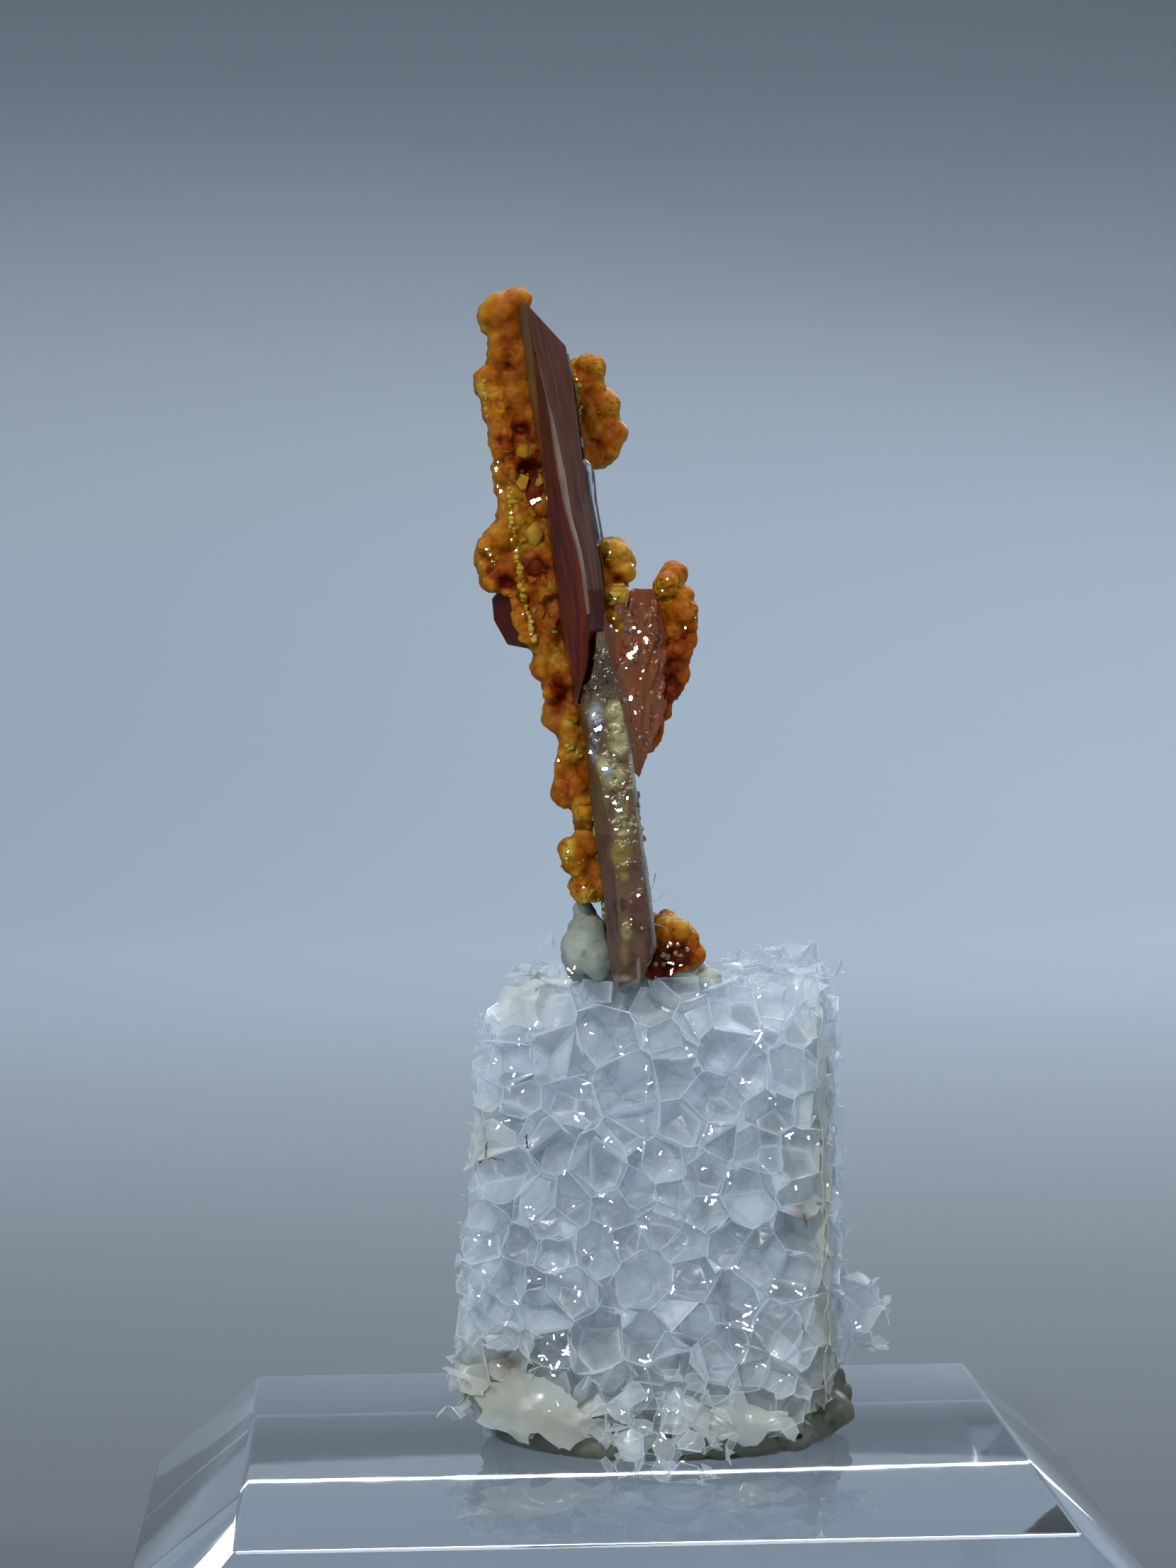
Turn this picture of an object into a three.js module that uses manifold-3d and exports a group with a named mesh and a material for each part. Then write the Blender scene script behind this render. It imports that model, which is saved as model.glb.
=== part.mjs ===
// Thumbnail specimen of orange mimetite grown on thin wulfenite tablets. Its foot is held in
// grey-green putty on a plug of cut plastic foam, which sits on a squashed disc of the same
// putty on a clear display block. Millimetres, +Z up, origin under the middle of the block.

import * as THREE from "three";
import { ConvexGeometry } from "three/addons/geometries/ConvexGeometry.js";
import { MeshSurfaceSampler } from "three/addons/math/MeshSurfaceSampler.js";
import { mergeVertices } from "three/addons/utils/BufferGeometryUtils.js";
import Module from "manifold-3d";

const wasm = await Module();
wasm.setup();

// Clear block: square foot, straight sides, then a wide bevel up to the smaller top face
const blockSize = 31.75;
const blockTopSize = 24.2;
const blockShoulder = 8.9;
const blockHeight = 12.7;

// Gap left between pieces that touch
const fitGap = 0.05;

// Foam plug: four corners in plan at each height, front left first, then anticlockwise
const plugLevels = [
  { z: 13.4, corners: [[-4.9, -1.0], [5.3, -2.2], [6.7, 5.0], [-3.6, 6.2]] },
  { z: 15.2, corners: [[-6.0, -1.5], [5.75, -2.75], [7.25, 5.3], [-4.4, 6.6]] },
  { z: 22.0, corners: [[-5.15, -1.5], [5.6, -2.75], [7.15, 5.2], [-3.9, 6.4]] },
  { z: 26.1, corners: [[-4.75, -1.4], [5.5, -2.7], [7.0, 5.1], [-3.6, 6.3]] },
  { z: 27.4, corners: [[-3.9, -1.0], [5.15, -2.35], [6.65, 4.8], [-2.95, 5.9]] },
];
const plugCornerRadius = 0.7;
const plugCornerInset = 0.28;
const plugTop = plugLevels[plugLevels.length - 1].z;

// Cut-open cells of the foam
const cellSpacing = 2.0;
const cellWall = 0.14;
const cellDepths = { outer: 0.1, inner: 1.35 };
const cellReach = 1.7;
const cellTries = 4000;
const cellFloor = 14.3;
const footPatch = { x: 0.4, y: 0.3, radius: 2.5, depth: 1 };

// Torn scraps of foam, each the hull of its points
const foamScraps = [
  [[-1.3, -2.0, 15.4], [2.9, -2.2, 15.3], [-1.2, -3.1, 14.2], [2.7, -3.4, 14.0], [-0.9, -4.3, 12.9],
    [2.4, -4.6, 12.95], [-0.2, -5.0, 12.78], [1.9, -5.1, 12.8], [-0.5, -3.9, 13.4], [2.2, -4.2, 13.4]],
  [[-5.2, -1.0, 15.3], [-5.2, -0.6, 14.4], [-5.9, -1.3, 14.0], [-5.0, -1.5, 14.5]],
  [[6.6, 2.0, 18.1], [7.5, 1.6, 17.9], [6.7, 1.2, 15.3], [8.0, 1.8, 15.4], [8.35, 2.1, 16.5],
    [6.9, 3.0, 16.2]],
  [[-3.1, 0.6, 27.0], [-2.75, 1.0, 28.6], [-2.2, 1.1, 28.7], [-1.8, 1.5, 27.2], [-2.4, 2.0, 27.0]],
  [[3.4, 3.6, 27.2], [4.4, 4.2, 28.1], [6.0, 4.0, 28.1], [6.9, 4.0, 27.3], [6.5, 4.9, 26.8],
    [4.0, 5.0, 27.0]],
];

// Putty disc under the plug: an oval that bulges at its rim, with ears up both ends
const discCentre = [1.05, 2.0];
const discHalf = [5.7, 4.75];
const discTurn = -8;
const discSteps = 26;
const discLevels = [
  { z: 0, scale: 0.95 },
  { z: 0.22, scale: 1.0 },
  { z: 0.62, scale: 0.99 },
  { z: 0.95, scale: 0.93 },
];
const discEars = [
  [6.1, 1.3, 13.9, 0.85],
  [6.25, 1.6, 14.5, 0.72],
  [6.3, 0.6, 13.6, 0.7],
  [6.55, 3.0, 13.6, 0.75],
  [-4.1, 1.4, 13.6, 0.7],
  [-4.3, 2.8, 13.5, 0.65],
  [4.9, -1.6, 13.4, 0.7],
];

// Putty around the foot of the crystals: lump centres and radii
const footLumps = [
  [-1.3, -0.6, 28.15, 0.78],
  [-1.65, -0.35, 28.1, 0.62],
  [-0.9, -1.25, 27.85, 0.6],
  [-1.35, -0.3, 29.2, 0.45],
  [-1.1, 0.8, 28.0, 0.95],
  [-0.1, 2.2, 27.8, 1.05],
  [1.2, 1.4, 27.7, 1.1],
  [0.1, 0.6, 27.6, 0.9],
  [1.9, 0.2, 27.5, 0.65],
  [2.45, -0.2, 27.4, 0.45],
];

// Wulfenite tablets, each the hull of its corners
const mainBlade = [
  [-3.3, -2.4, 48.0], [-1.6, -2.4, 35.6],
  [-3.12, -2.65, 48.2], [-3.03, -3.0, 47.9], [-2.45, -3.05, 40.6],
  [-2.97, -3.2, 47.45], [-0.78, -3.3, 36.0],
  [-2.0, -2.3, 47.1], [-0.92, -2.3, 39.58], [-0.5, -2.2, 36.6],
  [-3.25, 3.4, 47.6], [-2.05, 3.2, 46.9], [-2.5, 4.9, 45.7], [-1.9, 4.9, 45.4],
  [-2.2, 5.1, 39.0], [-1.2, 5.0, 39.0], [-1.5, 3.0, 35.4], [-0.45, 2.8, 36.0],
];
const bladeRim = [
  [-1.85, -1.5, 47.0], [-2.6, -1.0, 47.2], [-0.62, -1.5, 39.5], [-1.2, -1.2, 38.6],
  [-1.72, 2.6, 46.7], [-2.5, 2.8, 46.8], [-0.98, -0.9, 43.2], [-0.95, 4.1, 42.9],
  [-0.8, 3.9, 41.2], [-0.5, 2.5, 38.6], [-1.3, 4.0, 38.8],
];
const stemBlade = [
  [-1.78, -1.9, 37.6], [-0.62, -2.2, 27.75],
  [-1.3, -2.7, 36.4], [-0.45, -2.95, 27.7],
  [-0.2, -2.7, 36.8], [0.4, -2.9, 27.75],
  [-0.15, -2.2, 37.0], [0.08, -2.2, 34.2], [0.74, -2.3, 28.6], [0.55, -2.4, 27.7],
  [-0.3, -2.6, 27.5], [0.2, -2.6, 27.48],
  [-1.7, 1.7, 37.0], [-0.3, 1.9, 37.2], [-0.6, 2.3, 28.0], [0.75, 2.2, 28.2],
  [-1.2, 2.8, 34.0], [0.1, 2.8, 33.8], [-0.4, 1.6, 27.5], [0.5, 1.5, 27.5],
];
const sidePlate = [
  [-0.9, -1.5, 38.8], [0.2, -0.75, 39.65], [0.85, -0.35, 39.6], [1.25, -0.15, 38.1],
  [1.05, -0.2, 35.6], [0.55, -0.6, 34.5], [0.3, -0.8, 33.8], [-0.4, -1.5, 34.6],
  [-0.9, -0.4, 38.8], [0.15, 0.1, 39.55], [0.75, 0.4, 39.4], [1.15, 0.5, 38.1],
  [0.95, 0.4, 35.6], [0.5, 0.1, 34.5], [0.2, 0.0, 33.9], [-0.4, -0.4, 34.6],
];
const sideCrystal = [
  [-2.2, -1.2, 40.2], [-3.5, -1.2, 40.2], [-4.2, -0.8, 39.35], [-4.15, -1.0, 38.7],
  [-3.75, -1.3, 37.95], [-3.0, -1.35, 37.8], [-2.0, -1.2, 38.1],
  [-2.2, 0.9, 40.1], [-3.5, 0.8, 40.1], [-4.05, 1.0, 39.3], [-3.95, 0.9, 38.7],
  [-3.4, 0.8, 38.0], [-2.0, 0.8, 38.2],
];
const tablets = [mainBlade, bladeRim, stemBlade, sidePlate, sideCrystal];

// Mimetite lumps that show: centre x, y, z and radius
const leftEdgeLumps = [
  [-3.8, -1.0, 48.15, 0.72], [-3.45, -0.8, 48.5, 0.46], [-4.05, -0.9, 47.8, 0.56],
  [-3.6, -1.0, 47.1, 0.55], [-3.7, -1.0, 46.3, 0.66], [-4.0, -0.6, 45.5, 0.62],
  [-3.4, -1.5, 45.5, 0.66], [-3.6, -1.3, 44.7, 0.77], [-3.75, -0.6, 44.1, 0.7],
  [-3.25, -1.6, 43.8, 0.57], [-3.8, -0.8, 43.0, 0.46], [-3.3, -1.5, 43.1, 0.52],
  [-3.4, -1.5, 42.4, 0.62], [-3.05, -1.7, 41.9, 0.53], [-3.1, -1.6, 41.1, 0.66],
  [-3.95, -0.8, 40.8, 0.68], [-4.1, -0.7, 40.2, 0.6], [-3.0, -1.7, 40.3, 0.59],
  [-3.3, -1.9, 39.6, 0.46], [-2.85, -1.9, 39.8, 0.6], [-2.6, -1.95, 39.1, 0.6],
  [-3.15, -1.8, 38.5, 0.5], [-2.5, -1.9, 38.4, 0.64], [-2.35, -1.6, 37.7, 0.6],
  [-2.2, -1.2, 37.0, 0.58], [-2.1, -1.1, 36.3, 0.58], [-1.9, -1.4, 35.6, 0.54],
  [-1.8, -1.4, 34.95, 0.52], [-1.95, -1.2, 34.3, 0.5], [-1.85, -1.1, 33.7, 0.46],
  [-1.6, -1.1, 33.05, 0.44],
];
const leftPatchLumps = [
  [-1.5, -1.1, 31.8, 0.46], [-1.4, -1.0, 31.15, 0.58], [-1.5, -1.0, 30.5, 0.55],
  [-1.4, -1.3, 30.1, 0.38], [-1.3, 0.0, 31.3, 0.6], [-1.25, 0.8, 30.7, 0.55],
];
const rightUpperLumps = [
  [-1.15, 0.6, 46.3, 0.42], [-1.05, 0.8, 45.75, 0.44], [-0.72, 1.0, 45.2, 0.54],
  [-0.6, 1.2, 44.5, 0.66], [-0.52, 1.2, 43.9, 0.58], [-0.95, 0.7, 43.6, 0.44],
  [-1.2, 1.8, 45.6, 0.65], [-0.9, 2.4, 44.7, 0.75], [-0.8, 3.0, 43.8, 0.6],
];
const rightMiddleLumps = [
  [-0.3, -0.6, 40.5, 0.6], [-0.38, -1.1, 39.65, 0.52], [-0.3, -1.5, 39.1, 0.46],
  [-0.35, 0.4, 40.3, 0.6], [-0.4, 1.3, 40.0, 0.55], [-0.5, -0.6, 39.9, 0.55],
];
const rightLowerLumps = [
  [1.5, 0.2, 39.6, 0.53], [1.6, 0.4, 38.8, 0.64], [1.6, 0.4, 38.0, 0.64],
  [1.4, 0.3, 37.2, 0.6], [1.15, 0.3, 36.5, 0.57], [0.95, 0.25, 35.8, 0.5],
  [0.75, 0.3, 35.15, 0.42], [1.0, 1.1, 38.8, 0.7], [0.9, 1.2, 37.8, 0.75],
  [0.7, 1.1, 36.8, 0.65], [1.3, 1.0, 39.4, 0.5],
];
const baseLumps = [
  [1.4, -0.3, 28.95, 0.52], [1.8, -0.3, 28.5, 0.52], [2.1, -0.4, 28.05, 0.38],
  [1.2, -0.6, 28.3, 0.55], [0.85, -1.1, 27.85, 0.36], [1.4, -1.0, 27.85, 0.38],
  [1.1, 0.5, 28.7, 0.6], [1.6, 0.5, 28.3, 0.6],
];

// The crust goes on over the hidden depth of the blade's left face: rows of rougher lumps on a
// thin sheet, whose outline is given as y, z
const backRows = { low: 37.3, high: 47.0, rise: 1.8, front: 0.4, back: 4.3, step: 1.8 };
const backLump = { radius: [0.8, 1.08], standOff: [0.04, 0.07], shift: 0.3 };
const sheetOutline = [[-1.2, 47.3], [2.8, 46.9], [4.3, 44.9], [4.2, 39.8], [2.6, 37.6], [-1.1, 37.6]];
const sheetThickness = 0.3;

// A lump's points, fewer on a small one, and how far each is pushed in or out
const coarseRadius = 0.5;
const lumpCorners = { fine: 15, coarse: 10 };
const cornerReach = [0.98, 1.1];
const goldenAngle = Math.PI * (3 - Math.sqrt(5));
const smallestPiece = 0.02;

const seeds = {
  foam: 11,
  disc: 5,
  foot: 7,
  leftFace: 3,
  leftCrust: 21,
  leftPatch: 22,
  rightUpper: 23,
  rightMiddle: 24,
  rightLower: 25,
  base: 26,
};

const colours = {
  acrylic: 0xdde6ee,
  putty: 0x8d978a,
  foam: 0xe4eaee,
  wulfenite: 0x54281c,
  mimetite: 0xd98210,
};

// Seeded random numbers from 0 to 1
function randomFrom(seed) {
  let state = seed;
  return () => {
    state = (state * 1664525 + 1013904223) % 4294967296;
    return state / 4294967296;
  };
}

function between([low, high], random) {
  return low + (high - low) * random();
}

// A closed geometry becomes a solid that can be joined and cut
function toSolid(geometry) {
  const bare = new THREE.BufferGeometry();
  bare.setAttribute("position", geometry.getAttribute("position"));
  if (geometry.index) bare.setIndex(geometry.index);
  const merged = mergeVertices(bare, 1e-4);
  const vertProperties = new Float32Array(merged.attributes.position.array);
  const triVerts = new Uint32Array(merged.index.array);
  return new wasm.Manifold(new wasm.Mesh({ numProp: 3, vertProperties, triVerts }));
}

function toGeometry(solid) {
  const mesh = solid.getMesh();
  const geometry = new THREE.BufferGeometry();
  geometry.setAttribute("position", new THREE.BufferAttribute(mesh.vertProperties, 3));
  geometry.setIndex(new THREE.BufferAttribute(mesh.triVerts, 1));
  return geometry;
}

function pointsOf(list) {
  return list.map((p) => new THREE.Vector3(...p));
}

function hullOf(list) {
  return toSolid(new ConvexGeometry(pointsOf(list)));
}

function joined(solids) {
  return solids.reduce((whole, next) => whole.add(next));
}

// The biggest separate body of a cut solid, without the crumbs that the cut left
function biggest(solid) {
  const bodies = solid.decompose().filter((body) => body.volume() > smallestPiece);
  return bodies.reduce((best, body) => (body.volume() > best.volume() ? body : best));
}

// Clear display block
function displayBlock() {
  const levels = [[0, blockSize], [blockShoulder, blockSize], [blockHeight, blockTopSize]];
  const corners = levels.flatMap(([z, size]) => squareAt(z, size / 2));
  return new ConvexGeometry(pointsOf(corners));
}

function squareAt(z, half) {
  return [[-half, -half, z], [half, -half, z], [half, half, z], [-half, half, z]];
}

// Foam plug before its cells are cut open
function plugBody() {
  return new ConvexGeometry(pointsOf(plugLevels.flatMap(roundedLevel)));
}

// Each corner of a level is three points on a small round
function roundedLevel({ z, corners }) {
  const centre = new THREE.Vector2();
  corners.forEach(([x, y]) => centre.add(new THREE.Vector2(x, y)));
  centre.divideScalar(corners.length);
  return corners.flatMap(([x, y], i) => {
    const corner = new THREE.Vector2(x, y);
    const before = corners[(i + 3) % 4];
    const after = corners[(i + 1) % 4];
    const toBefore = new THREE.Vector2(...before).sub(corner).setLength(plugCornerRadius);
    const toAfter = new THREE.Vector2(...after).sub(corner).setLength(plugCornerRadius);
    const inward = centre.clone().sub(corner).setLength(plugCornerInset);
    const round = [toBefore, inward, toAfter];
    return round.map((way) => [x + way.x, y + way.y, z]);
  });
}

// Cell centres at least one spacing apart over the plug's surface, pushed in by depth
function scatterCentres(geometry, depth, random) {
  const sampler = new MeshSurfaceSampler(new THREE.Mesh(geometry));
  sampler.setRandomGenerator(random).build();
  const centres = [];
  const point = new THREE.Vector3();
  const normal = new THREE.Vector3();
  for (let i = 0; i < cellTries; i++) {
    sampler.sample(point, normal);
    point.addScaledVector(normal, -depth);
    if (centres.every((other) => other.distanceTo(point) > cellSpacing)) centres.push(point.clone());
  }
  return centres;
}

// The room of one cell: nearer to its centre than to any other, less half a wall
function cellAround(centre, centres) {
  const { x, y, z } = centre;
  const corners = [-1, 1].flatMap((k) => squareAt(k * cellReach, cellReach));
  let cell = hullOf(corners).translate([x, y, z]);
  for (const other of centres) {
    const away = centre.clone().sub(other);
    const gap = away.length();
    if (gap === 0 || gap > 2 * cellReach) continue;
    away.divideScalar(gap);
    cell = cell.trimByPlane(away.toArray(), away.dot(other) + (gap + cellWall) / 2);
  }
  return cell;
}

function opensOutside({ x, y, z }) {
  const underFoot = Math.hypot(x - footPatch.x, y - footPatch.y) < footPatch.radius;
  return z > cellFloor && !(underFoot && z > plugTop - footPatch.depth);
}

function foamPlug(base) {
  const body = plugBody();
  const random = randomFrom(seeds.foam);
  const outer = scatterCentres(body, cellDepths.outer, random);
  const inner = scatterCentres(body, cellDepths.inner, random);
  const centres = outer.concat(inner);
  let plug = toSolid(body);
  for (const centre of outer.filter(opensOutside)) plug = plug.subtract(cellAround(centre, centres));
  for (const scrap of foamScraps) plug = plug.add(hullOf(scrap));
  return biggest(plug.subtract(base));
}

// Putty disc with its ears, hollowed by the plug that stands in it
function puttyDisc() {
  const turn = THREE.MathUtils.degToRad(discTurn);
  const rings = discLevels.flatMap(({ z, scale }) => {
    return Array.from({ length: discSteps }, (unused, i) => {
      const angle = (2 * Math.PI * i) / discSteps;
      const x = discHalf[0] * scale * Math.cos(angle);
      const y = discHalf[1] * scale * Math.sin(angle);
      const px = discCentre[0] + x * Math.cos(turn) - y * Math.sin(turn);
      const py = discCentre[1] + x * Math.sin(turn) + y * Math.cos(turn);
      return [px, py, blockHeight + fitGap + z];
    });
  });
  const disc = hullOf(rings).add(lumpsJoined(discEars, seeds.disc));
  return disc.trimByPlane([0, 0, 1], blockHeight + fitGap).subtract(plugRoom());
}

// The plug's outside a little grown, to hollow the putty
function plugRoom() {
  const grown = plugLevels.flatMap(roundedLevel).map(([x, y, z]) => {
    const way = new THREE.Vector2(x - discCentre[0], y - discCentre[1]);
    way.setLength(way.length() + fitGap);
    return [discCentre[0] + way.x, discCentre[1] + way.y, z === plugLevels[0].z ? z - fitGap : z];
  });
  return hullOf(grown);
}

// One crystal lump: the hull of points spread over a ball and pushed in or out a little
function lump([x, y, z, radius], random, grow = 0) {
  const count = radius > coarseRadius ? lumpCorners.fine : lumpCorners.coarse;
  const turn = new THREE.Euler(...[0, 1, 2].map(() => 2 * Math.PI * random()));
  const corners = Array.from({ length: count }, (unused, i) => {
    const up = 1 - (2 * i + 1) / count;
    const around = i * goldenAngle;
    const side = Math.sqrt(1 - up * up);
    const corner = new THREE.Vector3(side * Math.cos(around), side * Math.sin(around), up);
    corner.applyEuler(turn).multiplyScalar(radius * between(cornerReach, random) + grow);
    return [corner.x + x, corner.y + y, corner.z + z];
  });
  return hullOf(corners);
}

function lumpsJoined(lumps, seed, grow = 0) {
  const random = randomFrom(seed);
  return joined(lumps.map((one) => lump(one, random, grow)));
}

// The tablets grown together, each face pushed out by grow where neighbours are cut
function tabletsJoined(grow) {
  return joined(tablets.map((corners) => hullOf(grownCorners(corners, grow))));
}

function grownCorners(corners, grow) {
  if (grow === 0) return corners;
  const ways = [-1, 1].flatMap((k) => squareAt(k * grow, grow));
  return corners.flatMap((corner) => ways.map((way) => way.map((value, i) => value + corner[i])));
}

// The blade's left face leans, so a row's lumps start from the face at their height
function leftFaceAt(z) {
  const [top, foot] = mainBlade;
  return top[0] + ((foot[0] - top[0]) * (top[2] - z)) / (top[2] - foot[2]);
}

function leftFaceLumps(random) {
  const lumps = [];
  const { low, high, rise, front, back, step } = backRows;
  const shift = [-backLump.shift, backLump.shift];
  for (let z = low; z < high; z += rise) {
    for (let y = front; y < back; y += step) {
      const x = leftFaceAt(z) - between(backLump.standOff, random);
      const radius = between(backLump.radius, random);
      lumps.push([x, y + between(shift, random), z + between(shift, random), radius]);
    }
  }
  return lumps;
}

// The thin sheet of crust that the hidden lumps stand on, from just inside the face outwards
function leftFaceSheet() {
  const corners = sheetOutline.flatMap(([y, z]) => {
    const face = leftFaceAt(z);
    return [[face - sheetThickness, y, z], [face + sheetThickness, y, z]];
  });
  return hullOf(corners);
}

// A crust is its lumps joined, less the tablets it grew on
function crust(whole, room) {
  return biggest(whole.subtract(room));
}

// Putty pressed round the foot, flat where it sits on the foam
function puttyFoot(rooms) {
  const whole = lumpsJoined(footLumps, seeds.foot);
  const cut = rooms.reduce((solid, room) => solid.subtract(room), whole);
  return biggest(cut.trimByPlane([0, 0, 1], plugTop + fitGap));
}

function named(name, geometry, colour, roughness, extra = {}) {
  const material = new THREE.MeshStandardMaterial({ color: colour, roughness, metalness: 0, ...extra });
  const mesh = new THREE.Mesh(geometry, material);
  mesh.name = name;
  return mesh;
}

const specimen = new THREE.Group();

const clear = { transparent: true, opacity: 0.35 };
specimen.add(named("display_block", displayBlock(), colours.acrylic, 0.05, clear));

const base = puttyDisc();
specimen.add(named("putty_base", toGeometry(base), colours.putty, 0.7));

const filmy = { transparent: true, opacity: 0.8 };
specimen.add(named("foam_plug", toGeometry(foamPlug(base)), colours.foam, 0.3, filmy));

specimen.add(named("wulfenite_crystals", toGeometry(tabletsJoined(0)), colours.wulfenite, 0.2));

const tabletRoom = tabletsJoined(fitGap);
const leftLumps = leftEdgeLumps.concat(leftFaceLumps(randomFrom(seeds.leftFace)));
const crusts = [
  ["mimetite_left_crust", lumpsJoined(leftLumps, seeds.leftCrust).add(leftFaceSheet())],
  ["mimetite_left_patch", lumpsJoined(leftPatchLumps, seeds.leftPatch)],
  ["mimetite_right_upper", lumpsJoined(rightUpperLumps, seeds.rightUpper)],
  ["mimetite_right_middle", lumpsJoined(rightMiddleLumps, seeds.rightMiddle)],
  ["mimetite_right_lower", lumpsJoined(rightLowerLumps, seeds.rightLower)],
  ["mimetite_base", lumpsJoined(baseLumps, seeds.base)],
];
for (const [name, whole] of crusts) {
  specimen.add(named(name, toGeometry(crust(whole, tabletRoom)), colours.mimetite, 0.35));
}

const footRooms = [tabletRoom, lumpsJoined(baseLumps, seeds.base, fitGap)];
specimen.add(named("putty_foot", toGeometry(puttyFoot(footRooms)), colours.putty, 0.7));

export default specimen;
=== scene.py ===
import math
import random

import bmesh
import bpy
import numpy as np
from mathutils import Matrix, Vector, noise
from mathutils.bvhtree import BVHTree


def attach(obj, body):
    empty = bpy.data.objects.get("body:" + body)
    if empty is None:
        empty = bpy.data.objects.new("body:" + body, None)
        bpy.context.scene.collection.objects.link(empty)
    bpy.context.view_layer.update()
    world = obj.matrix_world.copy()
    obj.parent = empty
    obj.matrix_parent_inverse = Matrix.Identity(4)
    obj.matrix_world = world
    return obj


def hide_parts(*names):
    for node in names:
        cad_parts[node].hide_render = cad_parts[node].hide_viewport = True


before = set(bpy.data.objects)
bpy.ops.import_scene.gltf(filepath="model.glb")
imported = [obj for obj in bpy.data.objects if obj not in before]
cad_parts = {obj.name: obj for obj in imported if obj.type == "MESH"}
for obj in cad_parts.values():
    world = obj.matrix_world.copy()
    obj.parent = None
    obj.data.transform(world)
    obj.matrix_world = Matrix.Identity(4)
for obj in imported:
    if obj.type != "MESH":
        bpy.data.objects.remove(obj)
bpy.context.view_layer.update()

mm = 0.001  # geometry is worked out in millimetres and scaled to metres at the end
noise.seed_set(7)  # without a seed the vector noise differs from run to run

# the camera stands where the photo was taken, almost level with the crystals
view = {
    "position": (-7.38, -125.72, 41.18),
    "yaw": 2.791,
    "pitch": 3.461,
    "roll": -0.527,
    "lens": 93.2,
}


def placeCamera():
    yaw, pitch, roll = (math.radians(view[k]) for k in ("yaw", "pitch", "roll"))
    ahead = Vector((math.sin(yaw) * math.cos(pitch), math.cos(yaw) * math.cos(pitch), -math.sin(pitch)))
    right = Vector((math.cos(yaw), -math.sin(yaw), 0))
    up = right.cross(ahead)
    rightRolled = right * math.cos(roll) + up * math.sin(roll)
    upRolled = up * math.cos(roll) - right * math.sin(roll)
    data = bpy.data.cameras.new("photoView")
    data.sensor_fit = "VERTICAL"
    data.sensor_height = 36
    data.lens = view["lens"]
    data.clip_start = 0.005
    data.clip_end = 20
    camera = bpy.data.objects.new("photoView", data)
    bpy.context.scene.collection.objects.link(camera)
    turn = Matrix((rightRolled, upRolled, -ahead)).transposed().to_4x4()
    camera.matrix_world = Matrix.Translation(Vector(view["position"]) * mm) @ turn
    bpy.context.scene.camera = camera


placeCamera()
print("camera placed")


# small helpers for nodes

def newMaterial(name):
    material = bpy.data.materials.new(name)
    material.use_nodes = True
    tree = material.node_tree
    return material, tree, tree.nodes["Principled BSDF"]


def addNode(tree, kind, **values):
    node = tree.nodes.new(kind)
    for key, value in values.items():
        setattr(node, key, value)
    return node


def setInputs(node, **values):
    for key, value in values.items():
        node.inputs[key.replace("_", " ")].default_value = value
    return node


def rampOf(tree, stops, source, smooth=False):
    node = tree.nodes.new("ShaderNodeValToRGB")
    ramp = node.color_ramp
    ramp.interpolation = "EASE" if smooth else "LINEAR"
    while len(ramp.elements) < len(stops):
        ramp.elements.new(1)
    for element, (place, colour) in zip(ramp.elements, stops):
        element.position = place
        element.color = (*colour, 1) if isinstance(colour, tuple) else (colour, colour, colour, 1)
    tree.links.new(source, node.inputs["Fac"])
    return node.outputs["Color"]


def maths(tree, operation, *values, clamp=False):
    node = addNode(tree, "ShaderNodeMath", operation=operation, use_clamp=clamp)
    for socket, value in zip(node.inputs, values):
        if isinstance(value, (int, float)):
            socket.default_value = value
        else:
            tree.links.new(value, socket)
    return node.outputs[0]


def blendColours(tree, mask, a, b, kind="MIX"):
    node = addNode(tree, "ShaderNodeMix", data_type="RGBA", blend_type=kind)
    for place, value in ((0, mask), (6, a), (7, b)):
        if isinstance(value, (int, float)):
            node.inputs[place].default_value = value
        elif isinstance(value, tuple):
            node.inputs[place].default_value = (*value, 1)
        else:
            tree.links.new(value, node.inputs[place])
    return node.outputs[2]


def attributeOf(tree, name):
    return addNode(tree, "ShaderNodeAttribute", attribute_name=name).outputs["Fac"]


def objectPlace(tree):
    return tree.nodes.new("ShaderNodeTexCoord").outputs["Object"]


def noiseOf(tree, scale, detail=3.0, rough=0.55, place=None):
    node = setInputs(tree.nodes.new("ShaderNodeTexNoise"), Detail=detail, Roughness=rough)
    for socket, value in (("Scale", scale), ("Vector", place or objectPlace(tree))):
        if isinstance(value, float):
            node.inputs[socket].default_value = value
        else:
            tree.links.new(value, node.inputs[socket])
    return node.outputs["Fac"]


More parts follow.
